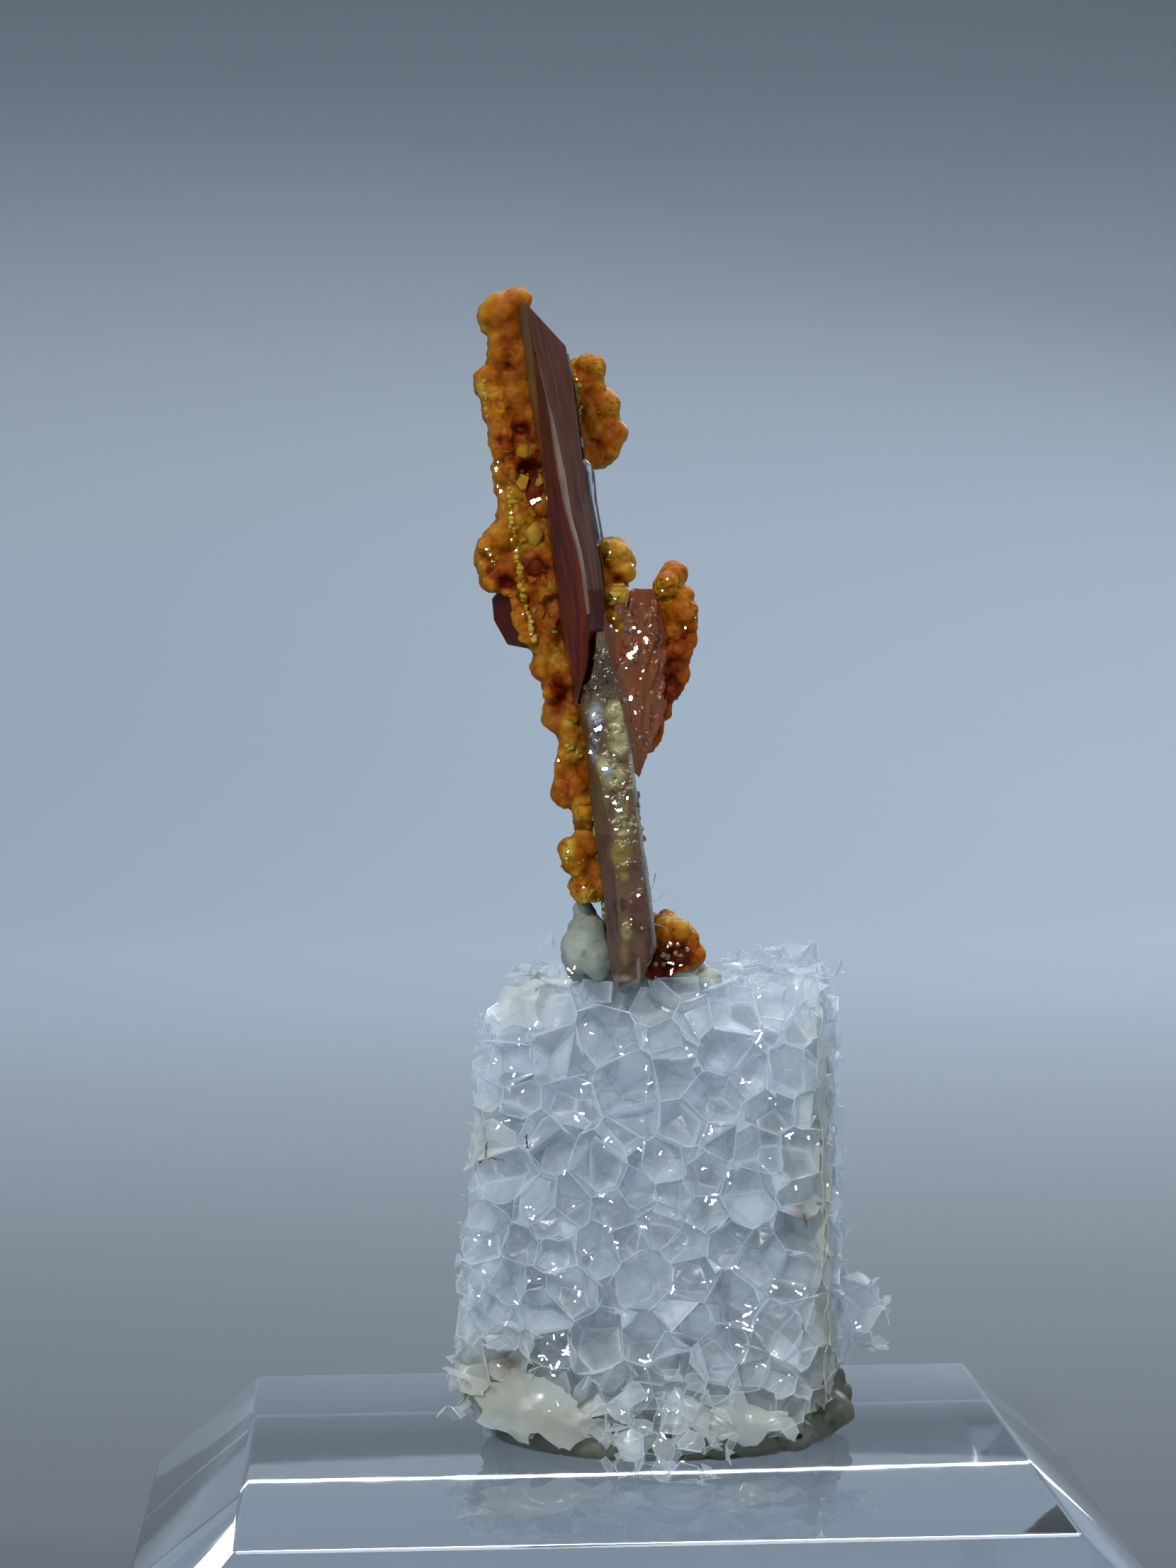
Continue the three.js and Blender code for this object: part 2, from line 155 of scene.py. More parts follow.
def makeGrainGroup():
    # one grain for every surface: patches for the colour, an uneven gloss and fine pits
    group = bpy.data.node_groups.new("surfaceGrain", "ShaderNodeTree")
    stretch = group.interface.new_socket(name="Stretch", in_out="INPUT", socket_type="NodeSocketVector")
    stretch.default_value = (1, 1, 1)
    for name, value in (("Patch Scale", 300.0), ("Grain Scale", 900.0), ("Smoothest", 0.1),
                        ("Roughest", 0.4), ("Pit Scale", 1500.0), ("Pit Strength", 0.2),
                        ("Pit Depth", 0.0001)):
        socket = group.interface.new_socket(name=name, in_out="INPUT", socket_type="NodeSocketFloat")
        socket.default_value = value
    for name, kind in (("Patches", "Float"), ("Grain", "Float"), ("Roughness", "Float"),
                       ("Normal", "Vector")):
        group.interface.new_socket(name=name, in_out="OUTPUT", socket_type="NodeSocket" + kind)
    given = group.nodes.new("NodeGroupInput").outputs
    result = group.nodes.new("NodeGroupOutput").inputs
    stretched = addNode(group, "ShaderNodeVectorMath", operation="MULTIPLY")
    group.links.new(objectPlace(group), stretched.inputs[0])
    group.links.new(given["Stretch"], stretched.inputs[1])
    place = stretched.outputs[0]
    grain = noiseOf(group, given["Grain Scale"], 4.0, 0.62, place)
    spread = addNode(group, "ShaderNodeMapRange")
    setInputs(spread, From_Min=0.35, From_Max=0.7)
    group.links.new(grain, spread.inputs["Value"])
    group.links.new(given["Smoothest"], spread.inputs["To Min"])
    group.links.new(given["Roughest"], spread.inputs["To Max"])
    pits = group.nodes.new("ShaderNodeBump")
    group.links.new(noiseOf(group, given["Pit Scale"], 3.0, 0.55, place), pits.inputs["Height"])
    group.links.new(given["Pit Strength"], pits.inputs["Strength"])
    group.links.new(given["Pit Depth"], pits.inputs["Distance"])
    group.links.new(noiseOf(group, given["Patch Scale"], 4.0, 0.6, place), result["Patches"])
    group.links.new(grain, result["Grain"])
    group.links.new(spread.outputs[0], result["Roughness"])
    group.links.new(pits.outputs[0], result["Normal"])
    return group


grainGroup = makeGrainGroup()


def grainInto(tree, shader, shine=None, **values):
    # places the shared grain in a material; where the shine value is 1 the surface is a mirror
    node = addNode(tree, "ShaderNodeGroup", node_tree=grainGroup)
    setInputs(node, **values)
    rough = node.outputs["Roughness"]
    if shine:
        duller = maths(tree, "MULTIPLY_ADD", attributeOf(tree, shine), -0.8, 1.0)
        rough = maths(tree, "MULTIPLY", rough, duller)
        tree.links.new(attributeOf(tree, shine), shader.inputs["Metallic"])
    tree.links.new(rough, shader.inputs["Roughness"])
    tree.links.new(node.outputs["Normal"], shader.inputs["Normal"])
    return node.outputs["Patches"], node.outputs["Grain"]


def colourInto(tree, shader, colour):
    # the base colour, with the glint facets left almost white
    tree.links.new(blendColours(tree, attributeOf(tree, "glint"), colour, (0.90, 0.92, 0.93)),
                   shader.inputs["Base Color"])


# small helpers for meshes, which are made in millimetres

def meshFrom(name, corners, faces):
    mesh = bpy.data.meshes.new(name)
    mesh.from_pydata([tuple(c) for c in corners], [], faces)
    mesh.update()
    return mesh


def meshOf(name, bm):
    mesh = bpy.data.meshes.new(name)
    bm.to_mesh(mesh)
    bm.free()
    return mesh


def place(name, mesh, material, slotName, replaced=(), smoothAngle=None):
    mesh.transform(Matrix.Scale(mm, 4))
    mesh.name = name
    mesh.materials.clear()
    mesh.materials.append(material)
    piece = bpy.data.objects.new(name, mesh)
    bpy.context.scene.collection.objects.link(piece)
    mesh.shade_smooth()
    if smoothAngle is not None:
        mesh.set_sharp_from_angle(angle=math.radians(smoothAngle))
    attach(piece, "root")
    if replaced:
        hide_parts(*replaced)
    mesh.calc_loop_triangles()
    print(name, len(mesh.loop_triangles), "triangles")
    return piece


def withModifiers(mesh, *steps):
    # runs modifiers on a mesh and gives back the resulting mesh
    holder = bpy.data.objects.new("holder", mesh)
    bpy.context.scene.collection.objects.link(holder)
    for number, (kind, values) in enumerate(steps):
        modifier = holder.modifiers.new(f"step{number}", kind)
        for key, value in values.items():
            setattr(modifier, key, value)
    graph = bpy.context.evaluated_depsgraph_get()
    made = bpy.data.meshes.new_from_object(holder.evaluated_get(graph), depsgraph=graph)
    made.validate()
    bpy.data.objects.remove(holder)
    return made


def bevelled(mesh, width):
    return withModifiers(mesh, ("BEVEL", {"width": width, "segments": 2, "limit_method": "ANGLE",
                                          "angle_limit": 0.32}))


def melted(mesh, voxel, rounds):
    # all overlapping lumps of a mesh as one skin, with its creases softened
    return withModifiers(mesh, ("REMESH", {"mode": "VOXEL", "voxel_size": voxel, "adaptivity": 0.0}),
                         ("SMOOTH", {"factor": 0.5, "iterations": rounds}))


def triplesOf(items, key):
    flat = np.empty(len(items) * 3)
    items.foreach_get(key, flat)
    return flat.reshape(-1, 3)


def pointsOfMesh(mesh):
    return triplesOf(mesh.vertices, "co")


def normalsOfMesh(mesh):
    return triplesOf(mesh.vertex_normals, "vector")


def movePoints(mesh, points):
    mesh.vertices.foreach_set("co", points.astype(np.float32).ravel())
    mesh.update()


def storeValues(mesh, name, values, domain="POINT"):
    attribute = mesh.attributes.new(name, "FLOAT", domain)
    attribute.data.foreach_set("value", np.asarray(values, np.float32))


def along(line, z):
    # the value of a line at a height
    return float(np.interp(z, [p[0] for p in line], [p[1] for p in line]))


def awayFrom(points, x, z, wide, high=None):
    # squared distance from a spot on the front, in that spot's own radii
    return ((points[:, 0] - x) / wide) ** 2 + ((points[:, 2] - z) / (high or wide)) ** 2


def between(a, b, count):
    # points from a towards b, without b
    return [tuple(a[k] + (b[k] - a[k]) * i / count for k in range(2)) for i in range(count)]


def steppedRing(corners, steps):
    # a closed ring through the corners, each side cut into its own number of steps
    ring = []
    for i, count in enumerate(steps):
        ring += between(corners[i], corners[(i + 1) % len(corners)], count)
    return ring


def loftMesh(name, rings, heights):
    count = len(rings[0])
    corners = [(x, y, z) for ring, z in zip(rings, heights) for x, y in ring]
    faces = []
    for row in range(len(rings) - 1):
        for i in range(count):
            j = (i + 1) % count
            a = row * count
            faces.append((a + i, a + j, a + count + j, a + count + i))
    faces.append(tuple(reversed(range(count))))
    top = (len(rings) - 1) * count
    faces.append(tuple(top + i for i in range(count)))
    return meshFrom(name, corners, faces)


def joinMeshes(name, meshes):
    # one mesh from several, with their face and point values kept
    holders = []
    for mesh in meshes:
        holder = bpy.data.objects.new("part", mesh)
        bpy.context.scene.collection.objects.link(holder)
        holders.append(holder)
    with bpy.context.temp_override(active_object=holders[0], selected_editable_objects=holders,
                                   selected_objects=holders, object=holders[0]):
        bpy.ops.object.join()
    mesh = holders[0].data
    bpy.data.objects.remove(holders[0])
    mesh.name = name
    return mesh


# small solids that are added to a mesh in the making

def randomWay(dice):
    z = dice.uniform(-1, 1)
    turn = dice.uniform(0, 2 * math.pi)
    side = math.sqrt(1 - z * z)
    return Vector((side * math.cos(turn), side * math.sin(turn), z))


def addBall(bm, centre, radius, detail, dice, squash=0.12):
    made = bmesh.ops.create_icosphere(bm, subdivisions=detail, radius=1.0)
    spread = [1 + dice.uniform(-squash, squash) for _ in range(3)]
    shift = Vector((dice.random(), dice.random(), dice.random())) * 40
    for v in made["verts"]:
        n = v.co.copy()
        reach = radius * (1 + 0.10 * noise.noise(n * 1.6 + shift))
        v.co = Vector(centre) + Vector([n[k] * spread[k] for k in range(3)]) * reach
    return made["verts"]


def addHull(bm, corners):
    fresh = [bm.verts.new(c) for c in corners]
    made = bmesh.ops.convex_hull(bm, input=fresh)
    loose = dict.fromkeys(made["geom_interior"] + made["geom_unused"])
    bmesh.ops.delete(bm, geom=[g for g in loose if isinstance(g, bmesh.types.BMVert)], context="VERTS")
    return [v for v in fresh if v.is_valid]


def addCrystal(bm, centre, radius, dice, corners=13):
    # a small faceted grain: the hull of points strewn over a ball
    squash = [dice.uniform(0.75, 1.2) for _ in range(3)]
    strewn = []
    for _ in range(corners):
        way = randomWay(dice)
        strewn.append(Vector(centre) + Vector([way[k] * squash[k] for k in range(3)]) * radius)
    return addHull(bm, strewn)


def skinRows(bm, rows):
    # faces from each closed row of points to the next, with both ends capped
    count = len(rows[0])
    for low, high in zip(rows, rows[1:]):
        for i in range(count):
            j = (i + 1) % count
            bm.faces.new((low[i], low[j], high[j], high[i]))
    bm.faces.new(list(reversed(rows[0])))
    bm.faces.new(rows[-1])


def addPrism(bm, outline, front, back):
    skinRows(bm, [[bm.verts.new((x, y, z)) for x, z in outline] for y in (back, front)])


def cutSquare(cut):
    # the eight corners of a square with its corners cut off
    return ((-1, -cut), (-cut, -1), (cut, -1), (1, -cut), (1, cut), (cut, 1), (-cut, 1), (-1, cut))


sparkLamp = (-0.10, -0.26, 0.24)  # the small lamp that makes the glints, in metres


def addGlint(bm, spot, size, dice, slim=1.5):
    # a small flat facet that mirrors the small left lamp into the photo's view
    eye = (Vector(view["position"]) - spot).normalized()
    lamp = (Vector(sparkLamp) / mm - spot).normalized()
    out = (eye + lamp).normalized()
    side = out.cross(Vector((0.2, 0.3, 1))).normalized()
    up = out.cross(side)
    count = dice.choice((4, 5, 6))
    start, lean = dice.uniform(0, 6.28), dice.uniform(0, 3.14)
    wide = dice.uniform(0.65, 1.0) * slim
    front, back = [], []
    for i in range(count):
        angle = start + 2 * math.pi * i / count + dice.uniform(-0.25, 0.25)
        a, b = math.cos(angle) * wide, math.sin(angle) / wide
        flat = side * (a * math.cos(lean) - b * math.sin(lean))
        flat += up * (a * math.sin(lean) + b * math.cos(lean))
        front.append(bm.verts.new(spot + out * size * 0.12 + flat * size * 0.5))
        back.append(bm.verts.new(spot - out * size * 0.4 + flat * size * 0.4))
    skinRows(bm, [back, front])
    return front + back


def seenFromPhoto(surface, x, y, z):
    # the first place on a surface along the line from the photo's eye through a point
    eye = Vector(view["position"])
    hit = surface.ray_cast(eye, (Vector((x, y, z)) - eye).normalized())
    return hit[0]


def withStuds(mesh, names, addAll):
    # lets a function add small solids, each with its own point values
    bm = bmesh.new()
    bm.from_mesh(mesh)
    for name in names:
        if bm.verts.layers.float.get(name) is None:
            bm.verts.layers.float.new(name)
    surface = BVHTree.FromBMesh(bm)

    def mark(verts, **values):
        for name, value in values.items():
            layer = bm.verts.layers.float[name]
            for v in verts:
                v[layer] = value

    addAll(bm, surface, mark)
    bm.to_mesh(mesh)
    bm.free()
    return mesh


# the plain stage: a pale floor that curves up into the backdrop

stageLook = {
    "wide": 1.6,
    "front": -0.5,
    "back": 0.55,
    "curve": 0.35,
    "high": 1.0,
    "drop": 0.00005,
    "curveSteps": 24,
    # colour from the floor up, where 1 stands for 1 / toneScale metres
    "toneScale": 3.4,
    "tones": [(0.0, (0.33, 0.385, 0.445)), (0.02, (0.30, 0.36, 0.42)), (0.17, (0.36, 0.415, 0.475)),
              (0.41, (0.187, 0.218, 0.262)), (0.44, (0.80, 0.88, 0.95))],
    # a shaded band on the floor behind the block, as in the photo: scale and shift of y, then the band
    "shadeSpan": (3.33, 0.17),
    "shade": [(0.10, 1.0), (0.27, 0.26), (0.50, 0.44), (0.83, 0.78), (1.0, 1.0)],
}


def makeStage():
    s = stageLook
    line = [(s["front"], 0.0), (s["back"] - s["curve"], 0.0)]
    for i in range(1, s["curveSteps"] + 1):
        turn = 0.5 * math.pi * i / s["curveSteps"]
        line.append((s["back"] - s["curve"] * (1 - math.sin(turn)), s["curve"] * (1 - math.cos(turn))))
    line.append((s["back"], s["high"]))
    corners = [(side * s["wide"] / 2, y, z - s["drop"]) for y, z in line for side in (-1, 1)]
    faces = [(2 * i, 2 * i + 1, 2 * i + 3, 2 * i + 2) for i in range(len(line) - 1)]
    mesh = meshFrom("floorAndBackdrop", corners, faces)
    floor = bpy.data.objects.new("floorAndBackdrop", mesh)
    bpy.context.scene.collection.objects.link(floor)
    mesh.shade_smooth()
    material, tree, shader = newMaterial("palePaper")
    split = tree.nodes.new("ShaderNodeSeparateXYZ")
    tree.links.new(objectPlace(tree), split.inputs[0])
    high = maths(tree, "MULTIPLY", split.outputs["Z"], s["toneScale"], clamp=True)
    tone = rampOf(tree, s["tones"], high, smooth=True)
    away = maths(tree, "MULTIPLY_ADD", split.outputs["Y"], *s["shadeSpan"], clamp=True)
    shade = rampOf(tree, s["shade"], away)
    mottle = maths(tree, "MULTIPLY_ADD", noiseOf(tree, 9.0, 1.0), 0.08, 0.96)
    toned = blendColours(tree, 1.0, blendColours(tree, 1.0, tone, shade, "MULTIPLY"), mottle, "MULTIPLY")
    tree.links.new(toned, shader.inputs["Base Color"])
    setInputs(shader, Roughness=0.85)
    mesh.materials.append(material)


lampLook = [
    # name, place in metres, aim, size, power, colour
    ("softTop", (0.03, 0.15, 0.42), (0, 0, 0.03), 0.26, 1.25, (0.93, 0.97, 1.0)),
    ("softFront", (-0.24, -0.36, 0.26), (0, 0, 0.03), 0.20, 0.5, (0.95, 0.98, 1.0)),
    ("sparkLeft", sparkLamp, (0, 0, 0.025), 0.014, 0.42, (1.0, 0.99, 0.97)),
    ("sparkRight", (0.14, -0.22, 0.20), (0, 0, 0.025), 0.010, 0.22, (0.97, 0.98, 1.0)),
    ("behind", (0.16, 0.30, 0.20), (0, 0, 0.03), 0.12, 0.35, (0.92, 0.96, 1.0)),
]


def makeLamps():
    for name, spot, aim, size, power, colour in lampLook:
        data = bpy.data.lights.new(name, "AREA")
        data.shape = "DISK"
        data.size = size
        data.energy = power
        data.color = colour
        lamp = bpy.data.objects.new(name, data)
        bpy.context.scene.collection.objects.link(lamp)
        lamp.location = spot
        way = Vector(aim) - Vector(spot)
        lamp.rotation_euler = way.to_track_quat("-Z", "Y").to_euler()
    world = bpy.data.worlds.new("softRoom")
    bpy.context.scene.world = world
    world.use_nodes = True
    setInputs(world.node_tree.nodes["Background"], Color=(0.50, 0.58, 0.68, 1), Strength=0.38)


makeStage()
makeLamps()
bpy.context.scene.view_settings.view_transform = "Standard"
bpy.context.scene.cycles.transparent_max_bounces = 19
print("stage and lamps set")


# clear display block, a little rounded along its edges

blockLook = {
    "size": 31.75,
    "top": 24.2,
    "shoulder": 8.9,
    "height": 12.7,
    "edge": 0.16,
    "tints": [(0.3, (0.90, 0.95, 0.99)), (0.7, (0.93, 0.97, 1.0))],
}


def makeBlock():
    b = blockLook
    corners = []
    for z, size in ((0, b["size"]), (b["shoulder"], b["size"]), (b["height"], b["top"])):
        corners += [(sx * size / 2, sy * size / 2, z) for sx, sy in ((-1, -1), (1, -1), (1, 1), (-1, 1))]
    faces = [(3, 2, 1, 0), (8, 9, 10, 11)]
    for level in (0, 4):
        for i in range(4):
            j = (i + 1) % 4
            faces.append((level + i, level + j, level + 4 + j, level + 4 + i))
    mesh = bevelled(meshFrom("block", corners, faces), b["edge"])
    material, tree, shader = newMaterial("clearAcrylic")
    setInputs(shader, IOR=1.49, Transmission_Weight=1.0)
    patches, _ = grainInto(tree, shader, Patch_Scale=90.0, Grain_Scale=700.0, Smoothest=0.01, Roughest=0.05,
                           Pit_Scale=160.0, Pit_Strength=0.03, Pit_Depth=0.0004)
    tree.links.new(rampOf(tree, b["tints"], patches), shader.inputs["Base Color"])
    place("display_block_clear", mesh, material, "clear_acrylic", ("display_block",), 20)


makeBlock()
print("block made")


# foam plug: thin clear walls between many cells, cut open all round

foamLook = {
    # heights and the four corners of the plug there
    "levels": [
        (13.35, [(-4.9, -1.0), (5.3, -2.2), (6.7, 5.0), (-3.6, 6.2)]),
        (15.2, [(-6.0, -1.5), (5.75, -2.75), (7.25, 5.3), (-4.4, 6.6)]),
        (22.0, [(-5.15, -1.5), (5.6, -2.75), (7.15, 5.2), (-3.9, 6.4)]),
        (26.1, [(-4.75, -1.4), (5.5, -2.7), (7.0, 5.1), (-3.6, 6.3)]),
        (27.4, [(-3.9, -1.0), (5.15, -2.35), (6.65, 4.8), (-2.95, 5.9)]),
    ],
    "box": ((-7.2, 8.4), (-4.0, 7.8), (12.2, 28.8)),
    "floor": 12.78,
    "faceStart": (-5.0, -1.5),
    "faceSlope": -0.118,
    "cornerCut": 0.35,
    "spacing": 1.39,
    "tries": 60000,
    "torn": (-0.16, 0.22),
    "thick": 0.03,
    "bulge": 0.10,
    "wave": 0.07,
    "flakes": 0.5,
    "flakeLong": (0.08, 0.34),
    "seed": 17,
    # the torn scraps: flap over the putty, spike, crumb at the right, two tufts on top
    "scraps": [
        [(-1.3, -2.0, 15.4), (2.9, -2.2, 15.3), (-1.2, -3.1, 14.2), (2.7, -3.4, 14.0), (-0.9, -4.3, 12.9),
         (2.4, -4.6, 12.95), (-0.2, -5.0, 12.82), (1.9, -5.1, 12.84), (-0.5, -3.9, 13.4),
         (2.2, -4.2, 13.4)],
        [(-5.2, -1.0, 15.3), (-5.2, -0.6, 14.4), (-5.9, -1.3, 14.0), (-5.0, -1.5, 14.5)],
        [(6.6, 2.0, 18.1), (7.5, 1.6, 17.9), (6.7, 1.2, 15.3), (8.0, 1.8, 15.4), (8.35, 2.1, 16.5),
         (6.9, 3.0, 16.2)],
        [(-3.1, 0.6, 27.0), (-2.75, 1.0, 28.6), (-2.2, 1.1, 28.7), (-1.8, 1.5, 27.2), (-2.4, 2.0, 27.0)],
        [(3.4, 3.6, 27.2), (4.4, 4.2, 28.1), (6.0, 4.0, 28.1), (6.9, 4.0, 27.3), (6.5, 4.9, 26.8),
         (4.0, 5.0, 27.0)],
    ],
    "scrapSpacing": 0.86,
    "scrapTries": 6000,
    "core": 2.3,
    # torn films that hang over the cells: four corners, rows, columns, how cloudy
    "films": [([(-5.6, -1.5, 15.6), (-2.2, -2.1, 15.1), (-1.0, -2.5, 13.5), (-4.5, -1.75, 13.5)],
               12, 24, 0.5),
              ([(1.0, -2.65, 14.7), (4.8, -3.0, 14.5), (4.6, -3.1, 13.7), (1.2, -2.95, 13.5)], 8, 24, 0.4),
              ([(5.62, -2.7, 26.4), (6.75, 3.4, 26.4), (6.85, 3.4, 14.8), (5.75, -2.75, 14.5)],
               60, 12, 0.5),
              ([(-4.2, -1.2, 27.4), (-2.9, -1.45, 27.4), (-2.8, -1.6, 26.5), (-4.5, -1.35, 26.3)],
               8, 9, 0.5)],
    # dirt and rust in the film: x, z, half width, half height, strength
    "dirt": [(-4.3, 14.9, 1.7, 1.1, 0.95), (-2.6, 14.0, 1.8, 0.8, 0.9), (3.2, 14.1, 2.3, 0.6, 0.6),
             (6.1, 20.0, 0.6, 7.5, 0.85), (6.3, 16.0, 0.6, 2.5, 0.8), (-3.4, 27.2, 0.8, 0.8, 0.45),
             (-4.7, 22.6, 0.5, 1.0, 0.45), (0.7, 26.9, 0.8, 0.3, 0.5), (5.7, 14.2, 0.5, 0.7, 1.0)],
    "rust": [(5.17, 20.2, 0.18, 0.5, 1.0), (6.24, 18.83, 0.15, 0.3, 1.0), (-3.9, 15.6, 0.5, 0.22, 0.7),
             (-5.0, 15.6, 0.18, 0.22, 0.6), (5.0, 20.6, 0.25, 0.2, 0.8), (3.9, 18.9, 0.12, 0.1, 0.5),
             (5.85, 14.7, 0.35, 0.45, 0.6), (5.8, 18.4, 0.15, 0.15, 0.5)],
    # strokes of the y-shaped brown mark: x, z, x, z
    "strokes": [(-4.60, 22.22, -4.55, 22.62), (-4.60, 22.20, -4.78, 22.02), (-4.58, 22.20, -4.05, 22.10),
                (5.12, 20.45, 5.2, 20.05), (-3.35, 22.9, -3.3, 22.5)],
    # white glints: x, z, size step
    "glints": [
        (-4.38, 25.08, 1), (-4.17, 23.16, 2), (-1.47, 24.45, 2), (-1.62, 23.54, 2), (-0.87, 22.74, 2),
        (3.79, 25.87, 3), (-1.31, 26.03, 1), (0.37, 25.82, 1), (0.35, 24.94, 1), (0.46, 24.49, 1),
        (3.31, 24.5, 2), (4.1, 24.02, 1), (2.32, 23.07, 2), (2.35, 20.79, 3), (-2.2, 21.64, 1),
        (-2.16, 20.89, 1), (-1.03, 20.97, 2), (-3.3, 20.63, 1), (-3.2, 20.3, 1), (-4.77, 19.82, 2),
        (-4.91, 19.58, 1), (-0.8, 19.92, 1), (-0.62, 19.54, 1), (0.23, 20.02, 2), (1.55, 20.22, 1),
        (2.08, 21.84, 1), (1.09, 21.79, 1), (0.77, 22.31, 1), (2.83, 21.65, 1), (5.26, 22.84, 1),
        (4.7, 22.88, 2), (4.88, 21.27, 1), (2.17, 27.48, 1), (3.8, 27.15, 1), (-1.95, 27.96, 2),
        (1.14, 27.91, 2), (-3.53, 25.83, 1), (-3.45, 24.21, 1), (-3.68, 24.73, 1), (-3.0, 26.32, 1),
        (-0.38, 25.37, 1), (1.87, 26.06, 1), (1.68, 25.35, 1), (0.11, 22.45, 1), (3.9, 21.89, 1),
        (6.14, 21.08, 1), (-3.2, 20.31, 2), (-1.56, 19.27, 1), (-2.56, 18.67, 2), (-4.69, 18.64, 1),
        (-4.84, 17.87, 1), (-1.76, 17.93, 2), (1.11, 18.03, 2), (3.04, 18.81, 1), (4.21, 18.19, 2),
        (4.96, 18.0, 2), (3.36, 17.33, 3), (3.4, 16.85, 3), (3.12, 16.37, 2), (2.84, 17.04, 1),
        (-2.53, 16.54, 2), (-2.16, 16.22, 3), (-2.45, 15.72, 3), (-2.92, 16.01, 2), (0.2, 15.88, 3),
        (4.66, 15.47, 1), (0.89, 14.47, 1), (1.19, 14.45, 1), (-0.48, 14.39, 1), (0.09, 14.06, 1),
        (0.7, 13.82, 2), (0.51, 13.24, 1), (6.77, 16.94, 1), (-2.46, 14.52, 1), (-4.29, 15.73, 1),
        (2.05, 18.32, 1), (-3.27, 18.35, 1), (-3.7, 17.68, 1), (-4.02, 17.01, 1), (3.86, 15.75, 1),
        (0.28, 14.73, 1), (1.21, 13.2, 1),
    ],
    "glintSize": (0.0, 0.075, 0.12, 0.16),
}


def sidePlanes(levels, cut):
    # outward planes of the plug, with a flat across each upright corner
    planes = []
    for (lowZ, low), (highZ, high) in zip(levels, levels[1:]):
        for i in range(4):
            j = (i + 1) % 4
            a = Vector((*low[i], lowZ))
            b = Vector((*low[j], lowZ))
            c = Vector((*high[i], highZ))
            out = (b - a).cross(c - a).normalized()
            planes.append((out, out.dot(a)))
            before = Vector((*low[(i + 3) % 4], lowZ))
            diagonal = ((a - before).normalized() - (b - a).normalized()).normalized()
            up = (c - a).normalized()
            out = (diagonal - up * diagonal.dot(up)).normalized()
            planes.append((out, out.dot(a) - cut))
    planes.append((Vector((0, 0, 1)), levels[-1][0]))
    planes.append((Vector((0, 0, -1)), -levels[0][0]))
    return np.array([p[0] for p in planes]), np.array([p[1] for p in planes])


def hullPlanes(corners):
    bm = bmesh.new()
    addHull(bm, corners)
    bmesh.ops.recalc_face_normals(bm, faces=bm.faces)
    planes = [(f.normal.copy(), f.normal.dot(f.verts[0].co)) for f in bm.faces]
    bm.free()
    return np.array([p[0] for p in planes]), np.array([p[1] for p in planes])


def clipPolygon(corners, way, limit):
    # keeps the part of a flat polygon on the inner side of a plane
    reach = [way[0] * c[0] + way[1] * c[1] + way[2] * c[2] - limit for c in corners]
    if max(reach) <= 0:
        return corners
    kept = []
    count = len(corners)
    for i in range(count):
        a, b = corners[i], corners[(i + 1) % count]
        ra, rb = reach[i], reach[(i + 1) % count]
        if ra <= 0:
            kept.append(a)
        if (ra < 0 < rb) or (rb < 0 < ra):
            t = ra / (ra - rb)
            kept.append((a[0] + t * (b[0] - a[0]), a[1] + t * (b[1] - a[1]), a[2] + t * (b[2] - a[2])))
    return kept


def cellCentres(box, ways, limits, spacing, tries, dice):
    # points at least one spacing apart in and just outside a body
    grid, centres = {}, []
    for _ in range(tries):
        p = tuple(dice.uniform(low, high) for low, high in box)
        if (ways @ np.array(p) - limits).max() > 0.9 * spacing:
            continue
        key = tuple(int(c // spacing) for c in p)
        near = (q for dx in (-1, 0, 1) for dy in (-1, 0, 1) for dz in (-1, 0, 1)
                for q in grid.get((key[0] + dx, key[1] + dy, key[2] + dz), ()))
        gap = spacing * (0.80 + 0.5 * noise.noise(Vector(p) * 0.35))
        if all((p[0] - q[0]) ** 2 + (p[1] - q[1]) ** 2 + (p[2] - q[2]) ** 2 > gap * gap for q in near):
            grid.setdefault(key, []).append(p)
            centres.append(p)
    return np.array(centres)


def cellWalls(centres, ways, limits, spacing, dice):
    # each wall lies midway between two centres, out to where a third is nearer
    walls, edges = [], []
    reach = 2.6 * spacing
    for i, here in enumerate(centres):
        gaps = np.linalg.norm(centres - here, axis=1)
        around = [j for j in np.argsort(gaps)[1:40] if gaps[j] < reach]
        for j in around:
            if j < i:
                continue
            way = (centres[j] - here) / gaps[j]
            middle = (centres[j] + here) / 2
            side = np.cross(way, (0.31, 0.52, 0.79))
            side /= np.linalg.norm(side)
            other = np.cross(way, side)
            corners = [tuple(middle + 2 * (a * side + b * other))
                       for a, b in ((-1, -1), (1, -1), (1, 1), (-1, 1))]
            for k in around:
                if k == j:
                    continue
                towards = centres[k] - here
                corners = clipPolygon(corners, towards, float(towards @ (centres[k] + here) / 2))
                if len(corners) < 3:
                    break
            if len(corners) < 3:
                continue
            outside = (np.array(corners) @ ways.T - limits).max(1)
            if outside.min() > foamLook["torn"][1]:
                continue
            if outside.max() > foamLook["torn"][0]:
                edge = dice.uniform(*foamLook["torn"])
                for way, limit in zip(ways, limits):
                    corners = clipPolygon(corners, way, limit + edge)
                    if len(corners) < 3:
                        break
                if len(corners) >= 3:
                    edges.append(corners)
            if len(corners) >= 3:
                walls.append(corners)
    return walls, edges


